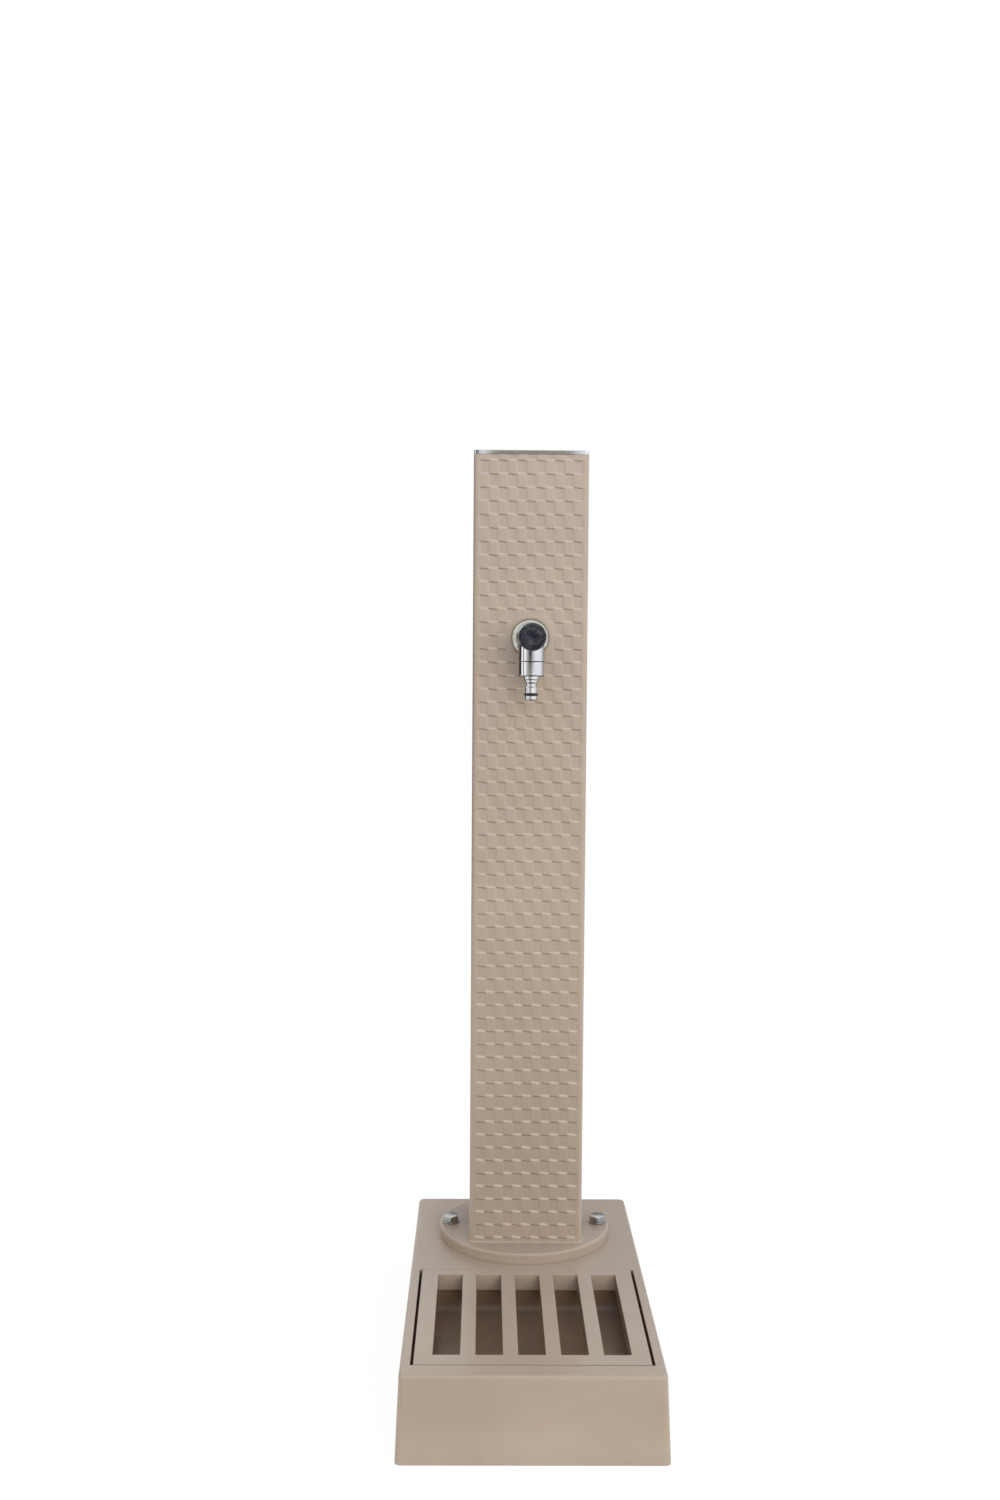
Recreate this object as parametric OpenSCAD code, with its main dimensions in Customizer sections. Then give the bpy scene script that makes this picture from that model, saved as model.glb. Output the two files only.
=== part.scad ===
// Garden tap post with basin. A square post with a weave pressed into its faces stands on a
// round flange, which is bolted to a low base. The front half of the base is a basin with a
// drain, under a lift-out grate. A quarter-turn tap with a hose nipple is on the post's front.
// The front faces -Y. The origin is the middle of the base, on the ground.

/* [Base] */
// Width of the base on the ground
base_w = 265; // [245:1:330]
// Depth of the base on the ground
base_d = 490; // [470:1:620]
// Height of the base
base_h = 86; // [80:1:120]
// How far each side leans in from the ground to the top
base_lean = 3.5; // [0:0.5:8]
// Thickness of the base's walls and deck
base_t = 4; // [3:0.5:6]
// Radius of the base's corners and top edge
base_r = 4; // [2:0.5:8]

/* [Basin tray] */
// Width of the deck beside its opening, left and right
deck_side = 10; // [8:0.5:20]
// Length of the deck's opening, front to back
recess_l = 234; // [210:1:240]
// From the front top edge of the base to the opening
recess_front = 23; // [12:1:30]
// Width of the ledge that carries the grate
ledge_w = 8; // [5:0.5:12]
// Depth of the basin below the deck's top
well_depth = 43; // [34:1:46]
// Sheet thickness of the tray
tray_t = 3; // [2:0.5:4]

/* [Grate] */
// Thickness of the grate
grate_t = 18; // [8:0.5:20]
// Gap beside the grate, left and right
grate_side_gap = 3; // [1:0.25:4]
// Gap in front of and behind the grate
grate_end_gap = 0.75; // [0.5:0.25:3]
// Number of slots
slot_n = 5; // [3:1:5]
// Width of each slot
slot_w = 27; // [16:0.5:30]
// Width of the bars between the slots
bar_w = 15.2; // [8:0.2:16]
// Length of the slots
slot_l = 197; // [150:1:200]
// Width of the bar in front of the slots
front_bar = 21.5; // [15:0.5:26]
// Bevel round the grate's top edge
grate_bevel = 0.8; // [0.3:0.1:2]

/* [Drain] */
// From the front of the deck's opening to the drain's axis
drain_y = 62; // [50:1:120]
// Radius of the drain's flange
drain_flange_r = 22; // [19:0.5:28]
// Thickness of the drain's flange
drain_flange_t = 2.5; // [1.5:0.5:4]
// Outer radius of the threaded tail
drain_tail_r = 13.2; // [12.8:0.1:14]
// Radius of the plain spigot below the thread
drain_spigot_r = 12.5; // [10.8:0.1:12.8]
// Bore radius of the tail
drain_bore_r = 10; // [6:0.5:10.5]
// Height of the spigot's lower end above the ground
drain_clear = 10; // [2:1:20]
// Thickness of the gasket under the flange
drain_gasket_t = 1.5; // [1:0.5:3]
// Size of the drain nut across its flats
drain_nut_af = 36; // [34:1:40]
// Height of the drain nut
drain_nut_h = 8; // [5:0.5:10]
// Radius of one hole in the strainer
strainer_hole_r = 1.7; // [1:0.1:2]

/* [Flange and bolts] */
// Radius of the round flange
flange_r = 100; // [98:1:112]
// Thickness of the flange
flange_t = 12; // [8:0.5:16]
// Radius of the flange's top edge
flange_edge_r = 4; // [1:0.5:6]
// From the back top edge of the base to the flange
flange_back = 13; // [8:1:18]
// Distance between the two bolts
bolt_span = 174; // [170:1:176]
// Diameter of the bolts
bolt_d = 10; // [8:1:12]
// Size of the bolt heads and nuts across their flats
bolt_af = 17; // [15:0.5:19]
// Height of a bolt head
bolt_head_h = 6.6; // [5:0.2:8]
// Length of a bolt under its head
bolt_len = 36; // [34:1:42]
// Height of a nut
bolt_nut_h = 8; // [6:0.5:10]
// Radius of a washer
washer_r = 10; // [10:0.5:12]
// Thickness of a washer
washer_t = 2; // [1:0.5:3]

/* [Post] */
// Height of the whole object
overall_h = 1000; // [900:10:1200]
// Width and depth of the square post
post_w = 129; // [120:1:140]
// Wall of the post, with its relief
post_t = 3; // [2.5:0.5:5]
// Radius of the post's upright corners
post_r = 5; // [4:0.5:8]
// Thickness of the cap plate
cap_t = 5; // [3:0.5:10]
// How far the cap's plug reaches into the post
cap_plug_h = 14; // [8:1:25]
// Wall of the cap's plug
cap_plug_t = 2.5; // [1.5:0.5:4]

/* [Weave] */
// Columns of tiles on each face of the post
weave_cols = 11; // [7:1:13]
// Smooth margin between the tiles and the post's edge
weave_margin = 6.75; // [5.25:0.25:12]
// Height of one tile
tile_h = 15; // [12:0.5:20]
// Height of the cut-off tiles at the foot
first_row_h = 5.3; // [3:0.1:14]
// How deep the sunk tiles are pressed
weave_depth = 1.5; // [0.8:0.1:1.8]
// Height of the slope between a raised tile and a sunk one
slope_h = 2.4; // [1:0.1:4]
// Width of the groove between two columns
groove_w = 0.4; // [0.2:0.1:1]
// Radius of the smooth round pad behind the tap
tap_pad_r = 27; // [24:1:32]
// Radius of the smooth round pad behind the inlet
inlet_pad_r = 20; // [17:1:28]

/* [Tap] */
// Height of the tap's axis above the ground
tap_z = 791; // [700:1:850]
// From the post's face to the axis of the outlet
tap_reach = 46; // [42:1:52]
// Radius of the tap's level barrel
barrel_r = 13; // [12.5:0.25:14]
// From the post's face to the front end of the barrel
barrel_end = 62; // [61:1:70]
// Radius of the tap's upright outlet
outlet_r = 14.25; // [14:0.25:16]
// From the tap's axis down to the end of the outlet barrel
outlet_drop = 26; // [22:1:34]
// Outer radius of the half-inch thread
thread_r = 10.48; // [10:0.02:11]
// Length of the outlet's thread
outlet_thread_l = 11.5; // [9:0.5:12]
// Radius of the water ways
water_r = 6; // [4:0.5:6.5]
// Radius of the rosette on the post
rosette_r = 21.5; // [18:0.5:26]
// Depth of the rosette
rosette_t = 9; // [6:0.5:12]

/* [Cartridge] */
// From the post's face to the seat of the cartridge
seat_a = 22; // [20:0.5:24]
// Thickness of the seat seal
seal_t = 2; // [1:0.5:2.5]
// Outer radius of the cartridge's sleeve
cartridge_r = 9.4; // [9.2:0.1:10]
// Radius of the ceramic discs
disc_r = 7.4; // [6.5:0.1:7.6]
// Thickness of each ceramic disc
disc_t = 3; // [2:0.25:3.5]
// Radius of the spindle
spindle_r = 4; // [3.5:0.1:4.5]
// Length of the visible collar in front of the barrel
collar_l = 5; // [3:0.5:8]
// Radius of the collar
collar_r = 12.4; // [11:0.2:13]

/* [Knob] */
// Radius of the knob
knob_r = 15; // [13.5:0.5:20]
// Length of the knob
knob_l = 20.4; // [18:0.2:28]
// Rounding of the knob's front edge
knob_edge_r = 1.6; // [0.5:0.1:2.5]
// Radius of the cap disc in the knob's face
knob_cap_r = 10; // [8:0.5:11]
// Thickness of the cap disc
knob_cap_t = 1.5; // [1:0.25:2]

/* [Hose nipple] */
// Depth of the sleeve that screws on the outlet
sleeve_h = 15.5; // [15:0.5:20]
// Thickness of the flat washer in the sleeve
outlet_washer_t = 2; // [1:0.5:2.5]
// Radius of the nipple's collar
nipple_collar_r = 8.8; // [8:0.1:9.5]
// Radius of the nipple's barrel
nipple_r = 6.85; // [6.5:0.05:7.2]
// Radius of the neck that a hose connector's catches grip
neck_r = 5.95; // [5.5:0.05:6.2]
// Length of the nipple under the sleeve
nipple_l = 27.4; // [26:0.2:32]
// Bore radius of the nipple
nipple_bore_r = 4.5; // [3.5:0.1:4.6]
// Radius of the O-ring's section on the nipple
nipple_o_r = 1.3; // [0.8:0.1:1.3]
// How far the O-ring stands out of the barrel
nipple_ring_proud = 1.1; // [0.8:0.1:1.2]

/* [Supply] */
// Height of the inlet at the back of the post
inlet_z = 150; // [140:1:300]
// Outer radius of the supply pipe
pipe_r = 8; // [6:0.5:9]
// Wall of the supply pipe
pipe_t = 2; // [1:0.25:2.5]
// Size of the inlet's hexagon and locknut across their flats
inlet_af = 27; // [24:1:30]
// Length of the inlet's outside thread
inlet_thread_l = 16; // [10:1:20]

/* [Hidden] */

// Finishes
taupe = [0.71, 0.66, 0.59];
taupe_dark = [0.50, 0.45, 0.39];
chrome = [0.82, 0.83, 0.85];
zinc = [0.68, 0.69, 0.70];
brass = [0.78, 0.66, 0.38];
black = [0.08, 0.08, 0.09];
rubber = [0.12, 0.12, 0.12];
ceramic = [0.92, 0.90, 0.86];
pipe_white = [0.90, 0.90, 0.88];

// Small shared clearances
eps = 0.01;
slip = 0.1;
running = 0.05;
cut = 1;

// Base and basin
top_w = base_w - 2 * base_lean;
top_d = base_d - 2 * base_lean;
recess_w = top_w - 2 * deck_side;
front_top_y = -top_d / 2;
recess_y0 = front_top_y + recess_front;
recess_y = recess_y0 + recess_l / 2;
well_w = recess_w - 2 * ledge_w;
well_l = recess_l - 2 * ledge_w;
well_z = base_h - well_depth;
ledge_z = base_h - grate_t;
grate_w = recess_w - 2 * grate_side_gap;
grate_l = recess_l - 2 * grate_end_gap;
slot_pitch = slot_w + bar_w;

// Drain
drain_pos_y = recess_y0 + drain_y;
drain_flange_z = well_z + drain_gasket_t;
drain_hole_r = drain_tail_r + 0.3;
drain_thread_z = well_z - tray_t - drain_nut_h - 1;
strainer_r = drain_bore_r + 1.5;
strainer_seat_z = drain_flange_z + drain_flange_t - 1.5;

// Flange, bolts and post
post_y = top_d / 2 - flange_back - flange_r;
flange_z = base_h;
post_z = flange_z + flange_t;
post_top = overall_h - cap_t;
post_front = post_y - post_w / 2;
post_back = post_y + post_w / 2;
tile_w = (post_w - 2 * weave_margin) / weave_cols;
weave_rows = floor((post_top - post_z - first_row_h - slope_h) / tile_h) + 1;
groove_d = weave_depth + 0.2;
strip_root = (post_t - groove_d) / 2;
bolt_hole_r = bolt_d / 2 + 0.5;
bolt_head_z = post_z + washer_t;
deck_under_z = base_h - base_t;

// Tap: lengths along its axis are counted from the post's face, towards the front
stub_in = post_t + 15;
elbow_leg_a = post_t + 22;
outlet_y = post_front - tap_reach;
outlet_end_z = tap_z - outlet_drop;
collar_end = barrel_end + collar_l;
knob_a0 = collar_end + 0.6;
knob_front = knob_a0 + knob_l;
cap_seat = knob_front - knob_cap_t;
screw_seat = cap_seat - 2;
spindle_end = screw_seat - 2.5;
sleeve_a0 = seat_a + seal_t;
disc_bore_r = disc_r + slip;
moving_disc_a = sleeve_a0 + disc_t + running;
driver_a = moving_disc_a + disc_t + running;
driver_t = 4;
packing_a = tap_reach + 7;
ring_groove_a = (packing_a + collar_end) / 2;
spindle_ring_r = 0.8;
screw_r = 1.9;
screw_head_r = 3.8;
screw_head_t = 1.8;
screw_l = 9;
tapped_l = screw_l + 2;

// Hose nipple
sleeve_top_z = outlet_end_z - 0.3;
sleeve_bottom_z = sleeve_top_z - sleeve_h;
washer_seat_z = outlet_end_z - outlet_thread_l - outlet_washer_t;
ring_z = sleeve_bottom_z - nipple_l + 6.8;
groove_h = nipple_o_r + running;
groove_r = nipple_r + nipple_ring_proud - 2 * nipple_o_r - running;

// Supply
elbow_r = 14;
leg_r = pipe_r + 4;
socket_depth = 14;
pipe_end_gap = 0.5;
leg_l = 34;
pipe_y = post_front + elbow_leg_a;
inlet_inner_y = post_back - post_t - 24;
inlet_hex_t = 6;
inlet_nut_t = 6;

function arc(cx, cy, r, from, to, n) =
    [for (i = [0 : n]) let (a = from + (to - from) * i / n) [cx + r * cos(a), cy + r * sin(a)]];

module ring(outer, inner, h) {
    difference() {
        cylinder(r = outer, h = h, $fn = 64);
        translate([0, 0, -cut]) cylinder(r = inner, h = h + 2 * cut, $fn = 64);
    }
}

module hex_ring(af, inner, h) {
    difference() {
        cylinder(r = af / 2 / cos(30), h = h, $fn = 6);
        translate([0, 0, -cut]) cylinder(r = inner, h = h + 2 * cut, $fn = 48);
    }
}

module box(w, l, h) {
    translate([-w / 2, -l / 2, 0]) cube([w, l, h]);
}

module frame(w, l, inner_w, inner_l, h) {
    difference() {
        box(w, l, h);
        translate([0, 0, -cut]) box(inner_w, inner_l, h + 2 * cut);
    }
}

// A square with round corners, drawn from straight pieces and true circles
module round_square(w, r) {
    square([w - 2 * r, w], center = true);
    square([w, w - 2 * r], center = true);
    for (x = [-1, 1], y = [-1, 1])
        translate([x * (w / 2 - r), y * (w / 2 - r)]) circle(r = r, $fn = 32);
}

// Places its children on the tap's axis, with their z along it towards the front
module on_tap_axis(a = 0) {
    translate([0, post_front - a, tap_z]) rotate([90, 0, 0]) children();
}

// Places its children on the axis of the inlet, with their z along it towards the back
module on_inlet_axis(y) {
    translate([0, y, inlet_z]) rotate([-90, 0, 0]) children();
}

module at_bolts(z) {
    for (x = [-1, 1]) translate([x * bolt_span / 2, post_y, z]) children();
}

// The leaning outside of the base: round corners on the ground, round edges at the top
module base_outside() {
    foot_r = base_r + 1;
    hull() {
        for (x = [-1, 1], y = [-1, 1]) {
            translate([x * (base_w / 2 - foot_r), y * (base_d / 2 - foot_r), 0])
                cylinder(r = foot_r, h = eps, $fn = 32);
            translate([x * (top_w / 2 - base_r), y * (top_d / 2 - base_r), base_h - base_r])
                sphere(r = base_r, $fn = 32);
        }
    }
}

module base_inside() {
    lean = base_lean * (base_h - base_t) / base_h;
    hull() {
        translate([0, 0, -eps]) box(base_w - 2 * base_t, base_d - 2 * base_t, eps);
        translate([0, 0, deck_under_z - eps])
            box(base_w - 2 * base_t - 2 * lean, base_d - 2 * base_t - 2 * lean, eps);
    }
}

module base_shell() {
    color(taupe) difference() {
        base_outside();
        base_inside();
        translate([0, recess_y, deck_under_z - cut]) box(recess_w, recess_l, base_t + 2 * cut);
        at_bolts(deck_under_z - cut) cylinder(r = bolt_hole_r, h = base_t + 2 * cut, $fn = 48);
    }
}

// The tray hangs under the deck: a collar, the grate's ledge, the basin's walls and its floor
module basin_tray() {
    collar_w = recess_w + 2 * tray_t;
    collar_len = recess_l + 2 * tray_t;
    color(taupe_dark) difference() {
        translate([0, recess_y, 0]) union() {
            translate([0, 0, ledge_z - tray_t])
                frame(collar_w, collar_len, recess_w, recess_l, deck_under_z - ledge_z + tray_t);
            translate([0, 0, ledge_z - tray_t]) frame(collar_w, collar_len, well_w, well_l, tray_t);
            translate([0, 0, well_z - tray_t])
                frame(well_w + 2 * tray_t, well_l + 2 * tray_t, well_w, well_l, ledge_z - well_z + tray_t);
            translate([0, 0, well_z - tray_t]) box(well_w + 2 * tray_t, well_l + 2 * tray_t, tray_t);
        }
        translate([0, drain_pos_y, well_z - tray_t - cut])
            cylinder(r = drain_hole_r, h = tray_t + 2 * cut, $fn = 64);
    }
}

module grate_plate() {
    hull() {
        box(grate_w, grate_l, grate_t - grate_bevel);
        box(grate_w - 2 * grate_bevel, grate_l - 2 * grate_bevel, grate_t);
    }
}

module grate() {
    slots_y = -grate_l / 2 + front_bar;
    color(taupe) translate([0, recess_y, ledge_z]) difference() {
        grate_plate();
        for (i = [0 : slot_n - 1])
            translate([(i - (slot_n - 1) / 2) * slot_pitch - slot_w / 2, slots_y, -cut])
                cube([slot_w, slot_l, grate_t + 2 * cut]);
    }
}

module drain_body() {
    tail_top = drain_flange_z;
    color(zinc) translate([0, drain_pos_y, 0]) difference() {
        union() {
            translate([0, 0, drain_clear]) cylinder(r = drain_spigot_r, h = tail_top - drain_clear, $fn = 64);
            translate([0, 0, drain_thread_z])
                cylinder(r = drain_tail_r, h = tail_top - drain_thread_z + eps, $fn = 64);
            translate([0, 0, drain_flange_z]) cylinder(r = drain_flange_r, h = drain_flange_t, $fn = 96);
        }
        translate([0, 0, drain_clear - cut]) cylinder(r = drain_bore_r, h = well_z, $fn = 64);
        translate([0, 0, strainer_seat_z]) cylinder(r = strainer_r, h = drain_flange_t, $fn = 64);
    }
}

module drain_strainer() {
    plate_t = 1.2;
    hole_ring_r = drain_bore_r * 0.66;
    color(chrome) translate([0, drain_pos_y, strainer_seat_z]) difference() {
        cylinder(r = strainer_r - slip, h = plate_t, $fn = 64);
        for (k = [0 : 5]) rotate(k * 60) translate([hole_ring_r, 0, -cut])
            cylinder(r = strainer_hole_r, h = plate_t + 2 * cut, $fn = 24);
        translate([0, 0, -cut]) cylinder(r = strainer_hole_r, h = plate_t + 2 * cut, $fn = 24);
    }
}

module drain_gasket() {
    inset = 0.5;
    color(rubber) translate([0, drain_pos_y, well_z])
        ring(drain_flange_r - inset, drain_hole_r, drain_gasket_t);
}

module drain_nut() {
    color(zinc) translate([0, drain_pos_y, well_z - tray_t - drain_nut_h])
        hex_ring(drain_nut_af, drain_tail_r + running, drain_nut_h);
}

module flange_plate() {
    color(taupe) difference() {
        translate([0, post_y, flange_z]) rotate_extrude($fn = 128) polygon(concat(
            [[0, 0], [flange_r, 0]],
            arc(flange_r - flange_edge_r, flange_t - flange_edge_r, flange_edge_r, 0, 90, 5),
            [[0, flange_t]]));
        at_bolts(flange_z - cut) cylinder(r = bolt_hole_r, h = flange_t + 2 * cut, $fn = 48);
    }
}

// Each head is a hexagon whose corners are turned off at the top
module flange_bolts() {
    corner_r = bolt_af / 2 / cos(30);
    chamfer_h = 1.2;
    top_face_r = bolt_af / 2 - 0.4;
    color(zinc) at_bolts(bolt_head_z) union() {
        intersection() {
            cylinder(r = corner_r, h = bolt_head_h, $fn = 6);
            rotate_extrude($fn = 48) polygon([[0, 0], [corner_r + eps, 0],
                [corner_r + eps, bolt_head_h - chamfer_h], [top_face_r, bolt_head_h], [0, bolt_head_h]]);
        }
        translate([0, 0, -bolt_len]) cylinder(r = bolt_d / 2, h = bolt_len + eps, $fn = 48);
    }
}

module flange_washers() {
    slack = 0.25;
    color(zinc) for (z = [post_z, deck_under_z - washer_t])
        at_bolts(z) ring(washer_r, bolt_d / 2 + slack, washer_t);
}

module flange_nuts() {
    color(zinc) at_bolts(deck_under_z - washer_t - bolt_nut_h)
        hex_ring(bolt_af, bolt_d / 2 + running, bolt_nut_h);
}

// The level of a tile, and the side view of one column of tiles as [height, level] points. A tile
// is raised where its column and row add up to an even number, and sunk where they don't.
function level(column, row) = (column + row) % 2 == 0 ? 0 : -weave_depth;
function row_foot(row) = post_z + first_row_h + (row - 1) * tile_h;
function column_side(column) = concat(
    [[post_top, -groove_d - strip_root], [post_z, -groove_d - strip_root], [post_z, level(column, 0)]],
    [for (row = [1 : weave_rows]) for (side = [-1, 1])
        [row_foot(row) + side * slope_h / 2, level(column, side < 0 ? row - 1 : row)]],
    [[post_top, level(column, weave_rows)]]);

// The woven relief on one face of the post: each column of tiles is one wavy strip
module woven_face() {
    for (column = [0 : weave_cols - 1])
        translate([(column - weave_cols / 2) * tile_w + groove_w / 2, -post_w / 2, 0])
            rotate([180, -90, 0]) linear_extrude(tile_w - groove_w) polygon(column_side(column));
}

// A square tube with a shallow pocket in each face, which the woven strips fill
module post_tube() {
    color(taupe) difference() {
        union() {
            translate([0, post_y, post_z]) linear_extrude(post_top - post_z) difference() {
                round_square(post_w, post_r);
                square(post_w - 2 * post_t, center = true);
                for (k = [0 : 3]) rotate(k * 90) translate([0, -post_w / 2])
                    square([weave_cols * tile_w, 2 * groove_d], center = true);
            }
            translate([0, post_y, 0]) for (k = [0 : 3]) rotate(k * 90) woven_face();
            on_tap_axis(-groove_d - strip_root) cylinder(r = tap_pad_r, h = groove_d + strip_root, $fn = 96);
            on_inlet_axis(post_back - groove_d - strip_root)
                cylinder(r = inlet_pad_r, h = groove_d + strip_root, $fn = 96);
        }
        on_tap_axis(-post_t - cut) cylinder(r = thread_r + 0.3, h = post_t + 2 * cut, $fn = 64);
        on_inlet_axis(post_back - post_t - cut)
            cylinder(r = thread_r + 0.3, h = post_t + 2 * cut, $fn = 64);
    }
}

module post_cap() {
    plug_w = post_w - 2 * post_t - 2 * slip;
    color(chrome) translate([0, post_y, post_top]) union() {
        linear_extrude(cap_t) round_square(post_w, post_r);
        translate([0, 0, -cap_plug_h])
            frame(plug_w, plug_w, plug_w - 2 * cap_plug_t, plug_w - 2 * cap_plug_t, cap_plug_h + eps);
    }
}

module rosette() {
    bore = thread_r + 0.15;
    lip = barrel_r + 0.6;
    rim_h = 1.5;
    color(chrome) on_tap_axis() rotate_extrude($fn = 96) polygon(concat(
        [[bore, 0], [rosette_r, 0], [rosette_r, rim_h]],
        [for (t = [1 : 6]) let (s = t / 6)
            [rosette_r - (rosette_r - lip) * (1 - cos(90 * s)), rim_h + (rosette_t - rim_h) * sin(90 * s)]],
        [[bore, rosette_t]]));
}

// The body: a threaded stub through the post, a level barrel, and the outlet that turns down
module tap_body() {
    color(chrome) difference() {
        union() {
            on_tap_axis(-stub_in) cylinder(r = thread_r, h = stub_in + rosette_t + eps, $fn = 64);
            on_tap_axis(rosette_t) cylinder(r = barrel_r, h = barrel_end - rosette_t, $fn = 96);
            translate([0, outlet_y, tap_z]) sphere(r = outlet_r, $fn = 96);
            translate([0, outlet_y, outlet_end_z]) cylinder(r = outlet_r, h = outlet_drop, $fn = 96);
            translate([0, outlet_y, outlet_end_z - outlet_thread_l])
                cylinder(r = thread_r, h = outlet_thread_l + eps, $fn = 64);
        }
        on_tap_axis(-stub_in - cut) cylinder(r = water_r, h = stub_in + seat_a + 2 * cut, $fn = 48);
        on_tap_axis(seat_a) cylinder(r = cartridge_r + running, h = barrel_end - seat_a + cut, $fn = 64);
        translate([0, outlet_y, outlet_end_z - outlet_thread_l - cut])
            cylinder(r = water_r, h = outlet_drop + outlet_thread_l, $fn = 48);
    }
}

module seat_seal() {
    inset = 0.3;
    color(rubber) on_tap_axis(seat_a) ring(cartridge_r - inset, water_r, seal_t);
}

// The sleeve that holds the discs and the spindle, with a window on each side for the water
module cartridge_sleeve() {
    window = 11;
    color(brass) difference() {
        union() {
            on_tap_axis(sleeve_a0) cylinder(r = cartridge_r, h = barrel_end - sleeve_a0 + eps, $fn = 64);
            on_tap_axis(barrel_end) cylinder(r = collar_r, h = collar_l, $fn = 96);
        }
        on_tap_axis(sleeve_a0 - cut) cylinder(r = disc_bore_r, h = packing_a - sleeve_a0 + cut, $fn = 64);
        on_tap_axis(packing_a - cut)
            cylinder(r = spindle_r + running, h = collar_end - packing_a + 2 * cut, $fn = 48);
        on_tap_axis(tap_reach - window / 2)
            translate([-window / 2, -cartridge_r - cut, 0]) cube([window, 2 * cartridge_r + 2 * cut, window]);
    }
}

// A ceramic disc with two ports, a quarter turn wide each
module ported_disc() {
    port_foot = 1.2;
    port_rim = 1.6;
    difference() {
        cylinder(r = disc_r, h = disc_t, $fn = 64);
        for (k = [0, 180]) rotate(k) translate([0, 0, -cut]) linear_extrude(disc_t + 2 * cut)
            polygon(concat([[port_foot, 0]], arc(0, 0, disc_r - port_rim, -36, 36, 6)));
    }
}

module fixed_disc() {
    color(ceramic) on_tap_axis(sleeve_a0) ported_disc();
}

module moving_disc() {
    color(ceramic) on_tap_axis(moving_disc_a) rotate(90) ported_disc();
}

// The blade on its inner end turns the moving disc, and the knob is screwed to its outer end
module spindle() {
    blade_w = 6;
    ring_groove_w = 1.8;
    color(brass) difference() {
        union() {
            on_tap_axis(driver_a) intersection() {
                cylinder(r = disc_r, h = driver_t, $fn = 64);
                box(2 * disc_r, blade_w, driver_t);
            }
            on_tap_axis(driver_a) cylinder(r = spindle_r, h = spindle_end - driver_a, $fn = 48);
        }
        on_tap_axis(ring_groove_a - ring_groove_w / 2)
            ring(spindle_r + cut, spindle_r - 2 * spindle_ring_r, ring_groove_w);
        on_tap_axis(spindle_end - tapped_l) cylinder(r = screw_r + slip, h = tapped_l + cut, $fn = 32);
    }
}

module spindle_o_ring() {
    color(rubber) on_tap_axis(ring_groove_a) rotate_extrude($fn = 48)
        translate([spindle_r - spindle_ring_r, 0]) circle(r = spindle_ring_r - eps, $fn = 24);
}

module knob() {
    hub_r = spindle_r + 3;
    shell_t = 2.5;
    color(black) difference() {
        on_tap_axis(knob_a0) rotate_extrude($fn = 96) polygon(concat(
            [[0, 0], [knob_r - 0.5, 0], [knob_r, 0.5]],
            arc(knob_r - knob_edge_r, knob_l - knob_edge_r, knob_edge_r, 0, 90, 5),
            [[0, knob_l]]));
        on_tap_axis(knob_a0 - cut) ring(knob_r - shell_t, hub_r, spindle_end - knob_a0 + cut);
        on_tap_axis(knob_a0 - cut) cylinder(r = spindle_r + slip, h = spindle_end - knob_a0 + cut, $fn = 48);
        on_tap_axis(spindle_end - cut)
            cylinder(r = screw_r + 0.3, h = screw_seat - spindle_end + 2 * cut, $fn = 32);
        on_tap_axis(screw_seat) cylinder(r = screw_head_r + 0.6, h = cap_seat - screw_seat + cut, $fn = 48);
        on_tap_axis(cap_seat) cylinder(r = knob_cap_r + slip, h = knob_cap_t + cut, $fn = 96);
    }
}

module knob_screw() {
    color(zinc) union() {
        on_tap_axis(screw_seat) cylinder(r = screw_head_r, h = screw_head_t, $fn = 48);
        on_tap_axis(spindle_end - screw_l)
            cylinder(r = screw_r, h = screw_seat - spindle_end + screw_l + eps, $fn = 32);
    }
}

module knob_cap() {
    color(black) on_tap_axis(cap_seat) cylinder(r = knob_cap_r, h = knob_cap_t, $fn = 96);
}

module outlet_washer() {
    color(rubber) translate([0, outlet_y, washer_seat_z]) ring(thread_r - 0.2, water_r, outlet_washer_t);
}

// The threaded sleeve and the nipple that a hose connector clicks on, turned from one piece
module hose_adaptor() {
    b = sleeve_bottom_z;
    e = b - nipple_l;
    tip_h = 1.2;
    tip_r = nipple_r - 0.6;
    shoulder_r = nipple_r + 0.4;
    neck_foot = b - 12;
    neck_top = b - 8.6;
    collar_foot = b - 4.1;
    face_z = b - 0.6;
    color(chrome) translate([0, outlet_y, 0]) rotate_extrude($fn = 96) polygon([
        [nipple_bore_r, e], [tip_r, e], [nipple_r, e + tip_h],
        [nipple_r, ring_z - groove_h], [groove_r, ring_z - groove_h], [groove_r, ring_z + groove_h],
        [nipple_r, ring_z + groove_h], [nipple_r, neck_foot - 0.8], [neck_r, neck_foot], [neck_r, neck_top],
        [shoulder_r, neck_top + 1.2], [shoulder_r, collar_foot - 0.5], [nipple_collar_r, collar_foot],
        [nipple_collar_r, face_z], [outlet_r - 1, face_z], [outlet_r, b + 0.8],
        [outlet_r, sleeve_top_z], [thread_r + running, sleeve_top_z],
        [thread_r + running, washer_seat_z], [nipple_bore_r, washer_seat_z]]);
}

module nipple_o_ring() {
    color(rubber) translate([0, outlet_y, ring_z])
        rotate_extrude($fn = 64) translate([groove_r + running + nipple_o_r, 0])
            circle(r = nipple_o_r, $fn = 24);
}

module elbow_corner(r) {
    sphere(r = r, $fn = 64);
}

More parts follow.
